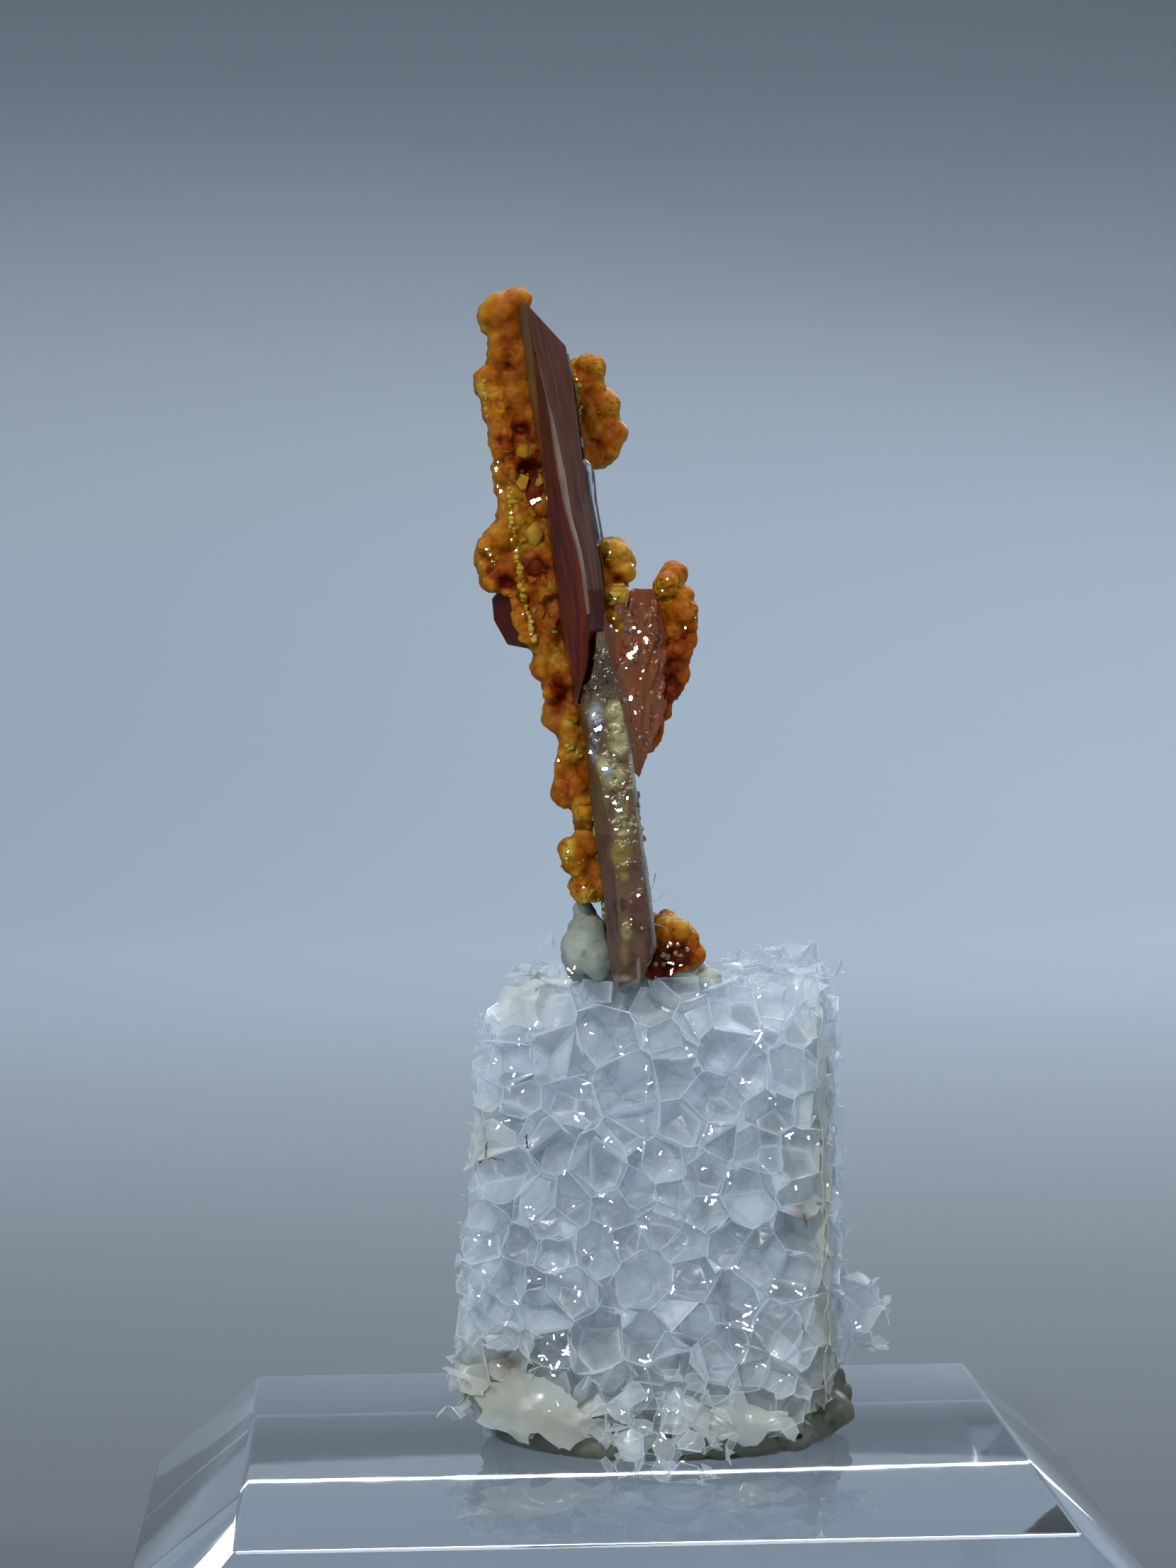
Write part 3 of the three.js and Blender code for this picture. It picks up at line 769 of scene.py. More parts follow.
def looseFlakes(edges, ways, limits, dice):
    # torn bits of wall that stand off the cut faces
    flakes = []
    for corners in edges:
        outside = (np.array(corners) @ ways.T - limits).max(1)
        order = np.argsort(-outside)[:2]
        if outside[order[1]] < -0.3 or dice.random() > foamLook["flakes"]:
            continue
        a, b = (Vector(corners[k]) for k in order)
        out = Vector(ways[int(np.argmax(ways @ np.array(a) - limits))])
        if out.z < -0.5:
            continue
        way = (out + randomWay(dice) * 0.9).normalized()
        tip = (a + b) / 2 + way * dice.uniform(*foamLook["flakeLong"])
        flakes.append([tuple(a), tuple(a.lerp(b, dice.uniform(0.3, 1.0))), tuple(tip)])
    return flakes


def wallMesh(walls, dice):
    # walls as softly bulged fans, welded where they meet
    bm = bmesh.new()
    rim = bm.verts.layers.float.new("rim")
    milk = bm.verts.layers.float.new("milk")
    for corners in walls:
        middle = Vector(np.mean(corners, axis=0))
        a, b, c = (Vector(corners[k]) for k in (0, len(corners) // 3, (2 * len(corners)) // 3))
        out = (b - a).cross(c - a)
        if out.length < 1e-4:
            continue
        out.normalize()
        size = max((Vector(c) - middle).length for c in corners)
        lift = out * dice.uniform(-1, 1) * foamLook["bulge"] * size / 0.6
        cloud = dice.random() ** 1.6
        ring = [bm.verts.new(c) for c in corners]
        half = [bm.verts.new((Vector(c) + middle) / 2 + lift * 0.75) for c in corners]
        centre = bm.verts.new(middle + lift)
        for v in ring:
            v[rim], v[milk] = 1.0, 0.4
        for v in half:
            v[rim], v[milk] = 0.5, cloud
        centre[milk] = cloud
        count = len(corners)
        for i in range(count):
            j = (i + 1) % count
            bm.faces.new((ring[i], ring[j], half[j], half[i]))
            bm.faces.new((half[i], half[j], centre))
    bmesh.ops.remove_doubles(bm, verts=bm.verts, dist=0.03)
    for corners, rows, columns, cloud in foamLook["films"]:
        addFilm(bm, corners, rows, columns, cloud)
    bmesh.ops.delete(bm, geom=[v for v in bm.verts if not v.link_faces], context="VERTS")
    for v in bm.verts:
        v.co += noise.noise_vector(v.co * 1.3) * foamLook["wave"] * 2
    return meshOf("foam", bm)


def addFilm(bm, corners, rows, columns, cloud):
    # a thin wavy sheet between four corners, with a ragged border
    rim, milk = bm.verts.layers.float["rim"], bm.verts.layers.float["milk"]
    a, b, c, d = (Vector(corner) for corner in corners)
    out = (b - a).cross(d - a).normalized()
    sheet = []
    for i in range(rows + 1):
        row = []
        for j in range(columns + 1):
            spot = a.lerp(b, j / columns).lerp(d.lerp(c, j / columns), i / rows)
            if i in (0, rows) or j in (0, columns):
                tear = noise.noise_vector(spot * 1.3) * 0.55 + noise.noise_vector(spot * 4.0) * 0.22
                spot += tear - out * tear.dot(out)
            wave = 0.16 * noise.noise(spot * 1.1) + 0.05 * noise.noise(spot * 4.0)
            v = bm.verts.new(spot + out * wave)
            v[milk] = cloud * (0.75 + 0.5 * noise.noise(spot * 1.6))
            v[rim] = 0.5
            row.append(v)
        sheet.append(row)
    for i in range(rows):
        for j in range(columns):
            bm.faces.new((sheet[i][j], sheet[i][j + 1], sheet[i + 1][j + 1], sheet[i + 1][j]))


def foamFront(x):
    # depth of the plug's cut front face
    startX, startY = foamLook["faceStart"]
    return startY + foamLook["faceSlope"] * (x - startX)


def marksOn(points, marks, frontOnly):
    # soft round marks, as far into the plug as frontOnly
    value = np.zeros(len(points))
    for x, z, wide, high, strength in marks:
        value = np.maximum(value, strength * np.exp(-awayFrom(points, x, z, wide, high)))
    return value * (points[:, 1] - foamFront(points[:, 0]) < frontOnly)


def makeFoam():
    f = foamLook
    dice = random.Random(f["seed"])
    bodies = [(sidePlanes(f["levels"], f["cornerCut"]), f["box"], f["spacing"], f["tries"])]
    for scrap in f["scraps"]:
        box = [(min(c[k] for c in scrap) - 0.6, max(c[k] for c in scrap) + 0.6) for k in range(3)]
        bodies.append((hullPlanes(scrap), box, f["scrapSpacing"], f["scrapTries"]))
    walls, deep = [], 0
    for (ways, limits), box, spacing, tries in bodies:
        centres = cellCentres(box, ways, limits, spacing, tries, dice)
        made, edges = cellWalls(centres, ways, limits, spacing, dice)
        # the hidden core is left hollow
        kept = [w for w in made if (np.mean(w, axis=0) @ ways.T - limits).max() > -f["core"]]
        deep += len(made) - len(kept)
        walls += kept + looseFlakes(edges, ways, limits, dice)
    print("foam walls", len(walls), "of which deep ones left out", deep)
    mesh = withModifiers(wallMesh(walls, dice), ("SOLIDIFY", {
        "solidify_mode": "NON_MANIFOLD", "thickness": f["thick"], "offset": 0.0,
        "nonmanifold_thickness_mode": "FIXED", "nonmanifold_boundary_mode": "NONE"}))
    points = pointsOfMesh(mesh)
    points[:, 2] = np.maximum(points[:, 2], f["floor"])
    movePoints(mesh, points)
    storeValues(mesh, "dirt", marksOn(points, f["dirt"], 3.0))
    storeValues(mesh, "rust", marksOn(points, f["rust"], 1.2))

    def addMarks(bm, surface, mark):
        for x, z, step in f["glints"]:
            size = f["glintSize"][step]
            for number in range(1 + step):
                away = 0 if number == 0 else 1
                spot = Vector((x + away * dice.uniform(-0.3, 0.3), 0, z + away * dice.uniform(-0.3, 0.3)))
                flap = max(0.0, min(1.0, (15.0 - z) / 2.0)) if -1 < x < 2.3 else 0.0
                spot.y = foamFront(x) - 0.08 - 2.2 * flap + dice.uniform(-0.05, 0.1)
                share = 1.0 if number == 0 else dice.uniform(0.3, 0.7)
                mark(addGlint(bm, spot, size * share, dice, 2.7), glint=1.0, milk=1.0)
        for x0, z0, x1, z1 in f["strokes"]:
            a, b = Vector((x0, foamFront(x0) - 0.1, z0)), Vector((x1, foamFront(x1) - 0.1, z1))
            for i in range(7):
                verts = addCrystal(bm, a.lerp(b, i / 6), dice.uniform(0.035, 0.06), dice, 9)
                mark(verts, rust=1.0, milk=1.0, rim=1.0)

    return withStuds(mesh, ("rim", "milk", "dirt", "rust", "glint"), addMarks)


def foamMaterial():
    material, tree, shader = newMaterial("plasticFoam")
    patches, grain = grainInto(tree, shader, "glint", Patch_Scale=420.0, Grain_Scale=900.0, Smoothest=0.12,
                               Roughest=0.3, Pit_Scale=1600.0, Pit_Strength=0.25, Pit_Depth=0.0001)
    milk = maths(tree, "MULTIPLY", attributeOf(tree, "milk"), maths(tree, "ADD", patches, 0.35))
    film = rampOf(tree, [(0.0, 0.08), (0.4, 0.24), (1.0, 0.56)], milk)
    edge = maths(tree, "MULTIPLY", rampOf(tree, [(0.84, 0.0), (1.0, 1.0)], attributeOf(tree, "rim")), grain)
    alpha = blendColours(tree, edge, film, (0.62, 0.62, 0.62))
    dirt, rust = attributeOf(tree, "dirt"), attributeOf(tree, "rust")
    dirty = maths(tree, "MULTIPLY", dirt, maths(tree, "ADD", patches, 0.6), clamp=True)
    alpha = blendColours(tree, maths(tree, "MULTIPLY", dirty, 0.38), alpha, (1.0, 1.0, 1.0))
    solid = maths(tree, "MAXIMUM", rust, attributeOf(tree, "glint"))
    alpha = blendColours(tree, solid, alpha, (0.92, 0.92, 0.92))
    tree.links.new(alpha, shader.inputs["Alpha"])
    body = rampOf(tree, [(0.3, (0.66, 0.75, 0.83)), (0.7, (0.76, 0.84, 0.90))], patches)
    body = blendColours(tree, dirty, body, (0.60, 0.61, 0.50))
    body = blendColours(tree, rust, body, (0.13, 0.055, 0.015))
    colourInto(tree, shader, body)
    setInputs(shader, IOR=1.59)
    return material


# wulfenite: thin tablets seen edge-on, lofted from the lines where their narrow facets meet

bladeLook = {
    # lines from the foot up, each a height and its place across the photo's view
    "low": 36.15,
    "high": 48.4,
    "row": 0.12,
    "tip": (-3.12, 48.22),
    "topSlope": -1.02,
    "leftLine": [(36.2, -1.80), (36.8, -1.80), (37.5, -1.95), (38.2, -2.10), (39.0, -2.2),
                 (41.7, -2.51), (43.8, -2.72), (45.5, -3.02), (48.0, -3.3)],
    "oliveLine": [(36.2, -1.77), (38.2, -2.05), (41.3, -2.44), (42.5, -2.55), (44.0, -2.70), (45.5, -2.82),
                  (47.2, -2.96), (48.3, -3.1)],
    "darkLine": [(36.2, -1.72), (37.5, -1.45), (39.0, -1.40), (40.1, -1.54), (40.8, -1.67), (41.5, -1.88),
                 (42.1, -2.05), (43.1, -2.22), (43.9, -2.35), (44.75, -2.45), (45.4, -2.57), (46.3, -2.76),
                 (47.2, -2.95), (48.3, -3.08)],
    "lightLine": [(36.2, -1.70), (37.5, -1.4), (39.0, -1.30), (40.1, -1.42), (40.8, -1.54), (41.5, -1.73),
                  (42.1, -1.86), (43.1, -2.0), (43.9, -2.17), (44.75, -2.34), (45.4, -2.53), (46.3, -2.74),
                  (47.2, -2.93), (48.3, -3.06)],
    "rightLine": [(36.2, -1.66), (36.68, -1.56), (36.93, -1.33), (37.52, -1.20), (38.1, -1.18),
                  (38.4, -0.84), (39.58, -0.84), (40.4, -0.93), (42.25, -1.28), (44.0, -1.50),
                  (45.9, -1.73), (47.1, -1.95), (48.3, -2.2)],
    "backLine": [(36.15, 2.9), (39.0, 5.0), (45.5, 4.85), (47.6, 3.3)],
    "rightBack": [(36.15, -0.5), (39.0, -1.2), (45.4, -1.9), (47.0, -2.05)],
    "mauveEnd": 39.58,
    "mauveStep": 0.05,
    "steps": [5, 7, 3, 16, 1, 10, 2, 2, 8, 5],
    "bevel": 0.016,
    "terraces": {"count": 26, "z": (39.5, 44.6), "y": (-1.2, 2.2), "wide": (0.5, 1.5), "high": (0.6, 2.0),
                 "sunk": 0.15, "proud": 0.02, "seed": 5},
}


def bladeRing(z):
    b = bladeLook
    left, olive = along(b["leftLine"], z), along(b["oliveLine"], z)
    dark, light = along(b["darkLine"], z), along(b["lightLine"], z)
    right, back = along(b["rightLine"], z), along(b["backLine"], z)
    olive = max(olive, left + 0.03)
    dark = max(dark, olive + 0.03)
    light = max(light, dark + 0.015)
    right = max(right, light + 0.02)
    wobble = [0.014 * noise.noise(Vector((k * 3.1, z * 1.7, 0.4))) for k in range(6)]
    proud = b["mauveStep"] if z > b["mauveEnd"] else 0.0
    corners = [
        (left + wobble[0], -2.4), (olive + wobble[1], -2.95), (dark + wobble[2], -3.2),
        (light + wobble[3], -3.24 - proud), (right + wobble[4], -2.35 - proud), (right + 0.02, -2.2),
        (along(b["rightBack"], z) + 0.02 * wobble[5], back - 0.5),
        ((left + right) / 2 + 0.1, back), (left + 0.3, back - 0.4), (left + 0.02, 0.6),
    ]
    return steppedRing(corners, b["steps"])


def addTerraces(bm):
    # thin growth steps on the broad faces, edge-on in the photo's view
    t = bladeLook["terraces"]
    dice = random.Random(t["seed"])
    for _ in range(t["count"]):
        side = dice.choice((-1, 1))
        z, y = dice.uniform(*t["z"]), dice.uniform(*t["y"])
        wide, high = dice.uniform(*t["wide"]), dice.uniform(*t["high"])
        corners = []
        for dy, dz in cutSquare(0.7):
            cy, cz = y + dy * wide / 2, z + dz * high / 2
            if side > 0:
                near, far = along(bladeLook["rightLine"], cz), along(bladeLook["rightBack"], cz)
            else:
                near = far = along(bladeLook["leftLine"], cz) + 0.02
            face = near + (far - near) * (cy + 2.2) / 6.5
            corners += [(face - side * t["sunk"], cy, cz), (face + side * t["proud"], cy, cz)]
        addHull(bm, corners)


def makeMainBlade():
    b = bladeLook
    heights = list(np.arange(b["low"], b["high"], b["row"]))
    rings = [bladeRing(z) for z in heights]
    mesh = loftMesh("mainBlade", rings, heights)
    starts = np.cumsum([0] + b["steps"])
    total = int(starts[-1])
    values = {"olive": [], "light": [], "mauve": [], "band": [], "deep": []}
    for face in mesh.polygons:
        row, column = divmod(face.index, total)
        isSide = face.index < total * (len(rings) - 1)
        z = face.center.z
        part = int(np.searchsorted(starts, column, side="right")) - 1 if isSide else -1
        values["olive"].append(float(np.interp(z, [41.2, 42.6], [0, 1])) if part == 0 else 0.0)
        values["light"].append(1.0 if part == 2 and z > 38.9 else 0.0)
        values["mauve"].append(1.0 if part in (3, 4) and z > b["mauveEnd"] else 0.0)
        # long streaks that run down the facets: painted reflection where they are brighter and bluer,
        # painted shade where darker
        streak = noise.noise(Vector((column * 1.7, z * 0.45, 2.0)))
        streak += 0.6 * noise.noise(Vector((column * 0.6, z * 1.1, 7.0)))
        values["band"].append(0.5 + 0.9 * streak * (1.3 if z < 43 else 0.6))
        values["deep"].append(float(np.interp(z, [41.5, 44.5], [0, 1])))
    for name, given in values.items():
        storeValues(mesh, name, given, "FACE")
    bm = bmesh.new()
    bm.from_mesh(mesh)
    tipX, tipZ = b["tip"]
    # two cuts shape the top: the long slope to the right and a short one to the left
    for way, spot in (((-b["topSlope"], 0, 1), (tipX, 0, tipZ)), ((-0.9, 0.12, 1), (tipX, 0, tipZ)),
                      ((0.1, 0.35, 1), (tipX, 1.2, tipZ - 0.3))):
        cut = bmesh.ops.bisect_plane(bm, geom=bm.verts[:] + bm.edges[:] + bm.faces[:], plane_co=spot,
                                     plane_no=Vector(way).normalized(), clear_outer=True)
        rimEdges = [g for g in cut["geom_cut"] if isinstance(g, bmesh.types.BMEdge)]
        bmesh.ops.edgenet_fill(bm, edges=rimEdges)
    addTerraces(bm)
    bmesh.ops.recalc_face_normals(bm, faces=bm.faces)
    bm.to_mesh(mesh)
    bm.free()
    return bevelled(mesh, b["bevel"])


stemLook = {
    "low": 27.5,
    "high": 38.35,
    "row": 0.05,
    "leftLine": [(27.6, -0.64), (28.6, -0.76), (30.33, -0.89), (32.73, -1.22), (34.9, -1.41), (36.3, -1.68),
                 (37.0, -1.4), (38.3, -1.15)],
    "frontLeft": [(27.6, -0.5), (28.5, -0.45), (32.1, -0.66), (33.5, -0.95), (35.0, -1.22), (36.3, -1.6),
                  (36.68, -1.5), (36.93, -1.28), (37.52, -1.14), (38.3, -1.08)],
    "frontRight": [(27.6, 0.3), (28.7, 0.5), (29.74, 0.4), (31.2, 0.22), (32.29, 0.08), (34.0, -0.06),
                   (35.56, -0.24), (36.24, -0.42), (36.75, -0.58), (37.26, -0.64), (38.3, -0.86)],
    "rightLine": [(27.6, 0.42), (28.7, 0.7), (30.22, 0.56), (31.2, 0.42), (32.29, 0.28), (34.25, 0.03),
                  (34.87, -0.02), (35.56, -0.14), (36.24, -0.35), (36.75, -0.5), (37.77, -0.66),
                  (38.3, -0.8)],
    "steps": [7, 28, 5, 6, 5, 5, 6],
    "seed": 9,
    # bumps of the coat on the front: x, z, radius, height
    "bumps": [(-0.9, 37.6, 0.25, 0.08), (-0.8, 36.9, 0.3, 0.12), (-1.12, 35.6, 0.24, 0.14),
              (-1.15, 34.9, 0.2, 0.10), (-0.55, 35.9, 0.26, 0.14), (-0.5, 35.2, 0.28, 0.22),
              (-0.4, 34.6, 0.24, 0.18), (-0.8, 34.15, 0.26, 0.18), (-0.3, 34.0, 0.2, 0.12),
              (-0.65, 33.65, 0.2, 0.14), (-0.48, 33.1, 0.24, 0.2), (-0.3, 32.55, 0.2, 0.16),
              (-0.6, 32.4, 0.18, 0.1), (-0.42, 31.75, 0.3, 0.14), (-0.25, 31.2, 0.24, 0.12),
              (0.2, 30.4, 0.14, 0.12), (-0.1, 30.0, 0.18, 0.07), (-0.22, 29.3, 0.18, 0.13),
              (0.3, 29.2, 0.2, 0.06)],
    # colour patches on the front: name, x, z, half width, half height
    "patches": [("grey", -0.9, 37.3, 0.4, 1.0), ("paintedSheen", -1.12, 35.6, 0.22, 0.6),
                ("paintedSheen", -1.2, 34.75, 0.14, 0.35), ("paintedSheen", -0.78, 34.15, 0.16, 0.2),
                ("pale", -0.55, 35.9, 0.28, 0.35), ("pale", -0.48, 35.1, 0.34, 0.5),
                ("pale", -0.9, 34.3, 0.22, 0.35), ("pale", -0.62, 33.95, 0.36, 0.4),
                ("pale", -0.4, 33.0, 0.22, 0.35), ("pale", -0.35, 32.35, 0.25, 0.22),
                ("gold", -0.88, 33.0, 0.22, 0.95), ("yellow", -0.42, 31.6, 0.33, 0.42),
                ("yellow", -0.3, 30.95, 0.14, 0.2), ("pale", -0.25, 29.28, 0.17, 0.30),
                ("gold", -0.3, 28.6, 0.14, 0.45), ("mauve", 0.05, 30.9, 0.34, 0.52),
                ("mauve", 0.12, 29.0, 0.42, 0.9), ("red", 0.07, 30.02, 0.32, 0.3),
                ("red", 0.47, 28.6, 0.15, 0.8), ("red", -0.35, 30.05, 0.12, 0.2),
                # the light patches along the foot's edges are painted highlights
                ("light", -0.45, 27.78, 0.34, 0.10), ("light", -0.72, 28.1, 0.05, 0.4),
                ("light", 0.1, 28.05, 0.06, 0.35)],
    "glints": [(-0.58, 33.17, 0.17), (-0.46, 32.96, 0.21), (-0.81, 33.35, 0.10), (-0.55, 32.36, 0.11),
               (-0.23, 32.36, 0.15), (-0.32, 33.78, 0.09), (-0.2, 33.3, 0.08), (0.12, 30.35, 0.12),
               (-1.07, 35.43, 0.24), (-1.2, 35.85, 0.10), (-1.29, 34.71, 0.12), (-0.87, 34.2, 0.17),
               (-0.6, 34.62, 0.07), (-1.25, 38.5, 0.10), (-1.32, 38.9, 0.07), (-0.1, 29.6, 0.06)],
    # small crystals on the front and on the sides: how many, from z, to z, smallest, largest
    "coatCrystals": (130, 32.2, 37.9, 0.04, 0.11),
    "sideCrystals": (170, 29.5, 38.0, 0.07, 0.2),
    "sideDepth": (-1.9, 2.5),
    # dust fibres at the right of the foot: points in x, y, z
    "fibres": [[(0.5, -2.4, 30.1), (0.75, -2.5, 30.15), (0.95, -2.55, 30.4)],
               [(0.55, -2.4, 29.75), (0.8, -2.5, 29.7), (1.0, -2.5, 29.85)],
               [(0.6, -2.4, 29.4), (0.85, -2.45, 29.35), (1.05, -2.5, 29.2)],
               [(0.5, -2.4, 30.4), (0.62, -2.5, 30.7), (0.66, -2.5, 30.95)]],
    "fibreThick": 0.012,
}
# dark and light end of each colour on the stem, laid over one another in this order
stemTones = {
    "grey": [(0.35, (0.055, 0.036, 0.018)), (0.65, (0.15, 0.115, 0.07))],
    "gold": [(0.35, (0.095, 0.050, 0.010)), (0.65, (0.20, 0.13, 0.03))],
    "mauve": [(0.35, (0.055, 0.020, 0.008)), (0.65, (0.13, 0.062, 0.032))],
    "red": [(0.35, (0.025, 0.003, 0.001)), (0.65, (0.12, 0.026, 0.009))],
    "yellow": [(0.35, (0.15, 0.095, 0.012)), (0.65, (0.30, 0.22, 0.045))],
    "pale": [(0.35, (0.13, 0.095, 0.022)), (0.65, (0.42, 0.38, 0.16))],
    # paintedSheen: dark patches with a painted bluish-white sheen that stands in for a metallic reflection
    "paintedSheen": [(0.38, (0.03, 0.028, 0.03)), (0.62, (0.38, 0.42, 0.48))],
    # light: grey-white, for the dust fibres and for the painted highlights along the edges
    "light": [(0.35, (0.16, 0.135, 0.11)), (0.65, (0.42, 0.40, 0.37))],
}


def addFibre(bm, spots, thick):
    # a thin closed thread through a few points
    rows = []
    for here in spots:
        rows.append([bm.verts.new(Vector(here) + Vector((math.cos(turn), 0.3, math.sin(turn))) * thick)
                     for turn in (0.0, 2.1, 4.2)])
    skinRows(bm, rows)
    return [v for row in rows for v in row]


def makeStem():
    s = stemLook
    dice = random.Random(s["seed"])
    heights = list(np.arange(s["low"], s["high"], s["row"]))
    rings = []
    for z in heights:
        left, frontLeft = along(s["leftLine"], z), along(s["frontLeft"], z)
        frontRight, right = along(s["frontRight"], z), along(s["rightLine"], z)
        front = -2.8 - 0.25 * float(np.interp(z, [35.8, 37.0], [0, 1]))
        corners = [(left, -2.05), (frontLeft, front + 0.08), (frontRight, front), (right, -2.3),
                   (right - 0.02, 2.2), ((left + right) / 2, 2.75), (left + 0.05, 1.8)]
        rings.append(steppedRing(corners, s["steps"]))
    mesh = loftMesh("stem", rings, heights)
    points = pointsOfMesh(mesh)
    front = np.clip((-points[:, 1] - 2.0) / 0.6, 0, 1)
    coat = np.zeros(len(points))
    for x, z, radius, height in s["bumps"]:
        coat += height * np.exp(-1.6 * awayFrom(points, x, z, radius))
    rough = np.array([noise.noise(Vector(p) * 4.5) * 0.5 + noise.noise(Vector(p) * 11.0) * 0.35
                      for p in points])
    lower = np.clip((31.0 - points[:, 2]) / 1.0, 0, 1)
    points[:, 1] -= front * (coat + rough * 0.11 * (1 - 0.65 * lower))
    side = np.array([noise.noise(Vector((p[0], p[1] * 2.0, p[2] * 1.2)) * 2.0) for p in points])
    points[:, 0] += 0.035 * side
    # the foot ends in a short v
    rightward = np.clip((points[:, 0] + 0.45) / 0.9, 0, 1)
    points[:, 2] += np.clip((28.6 - points[:, 2]), 0, 1.1) * 0.45 * rightward
    movePoints(mesh, points)
    masks = {name: np.zeros(len(points)) for name in stemTones}
    for name, x, z, wide, high in s["patches"]:
        gap = awayFrom(points, x, z, wide, high)
        masks[name] = np.maximum(masks[name], front * np.exp(-gap ** 2.2))
    rightLine = np.array([along(s["rightLine"], z) for z in points[:, 2]])
    frontLeft = np.array([along(s["frontLeft"], z) for z in points[:, 2]])
    onFront = (points[:, 1] < -1.95) * (points[:, 2] < 34.6)
    # a painted highlight down the right edge and mauve down the left one
    edge = np.clip(1 - np.abs(points[:, 0] - rightLine + 0.05) / 0.12, 0, 1)
    masks["light"] = np.maximum(masks["light"], edge * onFront)
    leftEdge = (points[:, 0] < frontLeft + 0.02) * (points[:, 2] < 32.2) * 1.0
    masks["mauve"] = np.maximum(masks["mauve"], leftEdge)
    for name, values in masks.items():
        storeValues(mesh, name, values)

    def addCoat(bm, surface, mark):
        count, low, high, small, large = s["coatCrystals"]
        for _ in range(count):
            z = dice.uniform(low, high)
            x = dice.uniform(along(s["frontLeft"], z), along(s["rightLine"], z))
            spot = seenFromPhoto(surface, x, -3.0, z)
            if spot is None:
                continue
            verts = addCrystal(bm, spot, dice.uniform(small, large), dice)
            mark(verts, **{"pale" if z < 36.3 else "grey": dice.uniform(0.5, 1.0)})
        count, low, high, small, large = s["sideCrystals"]
        for _ in range(count):
            side = dice.choice((-1, 1))
            start = Vector((side * 6, dice.uniform(*s["sideDepth"]), dice.uniform(low, high)))
            spot = surface.ray_cast(start, Vector((-side, 0, 0)))[0]
            if spot is not None:
                kind = dice.choice(("pale", "grey", "gold", "yellow"))
                centre = spot - Vector((side * 0.03, 0, 0))
                mark(addCrystal(bm, centre, dice.uniform(small, large), dice), **{kind: 1.0})
        for x, z, size in s["glints"]:
            spot = seenFromPhoto(surface, x, -2.9, z)
            if spot is not None:
                mark(addGlint(bm, spot, size, dice), glint=1.0, light=1.0)
        for spots in s["fibres"]:
            mark(addFibre(bm, spots, s["fibreThick"]), light=1.0)

    return withStuds(mesh, ("pale", "grey", "gold", "yellow", "light", "glint"), addCoat)


rimLook = {
    "low": 39.2,
    "high": 47.0,
    "row": 0.2,
    "width": [(39.2, 0.05), (40.8, 0.12), (41.2, 0.26), (42.5, 0.29), (43.35, 0.33), (43.5, 0.12),
              (45.1, 0.10), (46.5, 0.07), (47.0, 0.04)],
    "gap": 0.03,
}
darkCrystalLook = [
    (-2.2, -1.2, 40.2), (-3.5, -1.2, 40.2), (-4.2, -0.8, 39.35), (-4.15, -1.0, 38.7), (-3.75, -1.3, 37.95),
    (-3.0, -1.35, 37.8), (-2.0, -1.2, 38.1), (-2.2, 0.9, 40.1), (-3.5, 0.8, 40.1), (-4.05, 1.0, 39.3),
    (-3.95, 0.9, 38.7), (-3.4, 0.8, 38.0), (-2.0, 0.8, 38.2),
]
sidePlateLook = {
    "corners": [
        (-0.9, -1.5, 38.8), (0.2, -0.75, 39.65), (0.85, -0.35, 39.6), (1.25, -0.15, 38.1),
        (1.05, -0.2, 35.6), (0.55, -0.6, 34.5), (0.3, -0.8, 33.8), (-0.4, -1.5, 34.6),
        (-0.9, -0.4, 38.8), (0.15, 0.1, 39.55), (0.75, 0.4, 39.4), (1.15, 0.5, 38.1), (0.95, 0.4, 35.6),
        (0.5, 0.1, 34.5), (0.2, 0.0, 33.9), (-0.4, -0.4, 34.6),
    ],
    "leftLine": [(33.8, 0.2), (34.6, -0.35), (36.8, -0.55), (38.8, -0.7), (39.6, 0.1)],
    "rightLine": [(33.8, 0.3), (34.5, 0.5), (35.6, 0.95), (38.1, 1.15), (39.6, 0.75)],
    "voxel": 0.05,
    "blades": 80,
    "bladeSizes": ((0.35, 1.1), (0.14, 0.34), (0.12, 0.22)),
    "grains": 60,
    "grainSize": (0.05, 0.12),
    "seed": 31,
    "glints": [(0.5, 38.04, 0.17), (0.2, 37.78, 0.15), (0.02, 37.56, 0.17), (0.1, 37.66, 0.09),
               (0.35, 36.87, 0.08), (0.0, 36.25, 0.15), (-0.42, 35.93, 0.12), (-0.42, 35.62, 0.11),
               (0.64, 38.48, 0.08), (-0.57, 38.49, 0.10), (-0.33, 36.51, 0.08), (0.16, 35.82, 0.08),
               (-0.55, 36.26, 0.08), (0.12, 38.44, 0.10), (0.3, 38.3, 0.07), (0.42, 37.1, 0.06),
               (-0.1, 37.2, 0.05)],
}


def bladedCrystal(bm, centre, way, long, wide, thick, dice):
    # a short blade with a bevelled end, closed all round
    way = way.normalized()
    side = way.cross(Vector((dice.uniform(-1, 1), dice.uniform(-1, 1), dice.uniform(-1, 1)))).normalized()
    up = way.cross(side)
    rows = []
    for reach, grow in ((-0.5, 1.0), (0.32, 1.0), (0.5, 0.55)):
        middle = centre + way * long * reach
        rows.append([bm.verts.new(middle + side * wide * a * grow / 2 + up * thick * b * grow / 2)
                     for a, b in cutSquare(0.6)])
    skinRows(bm, rows)


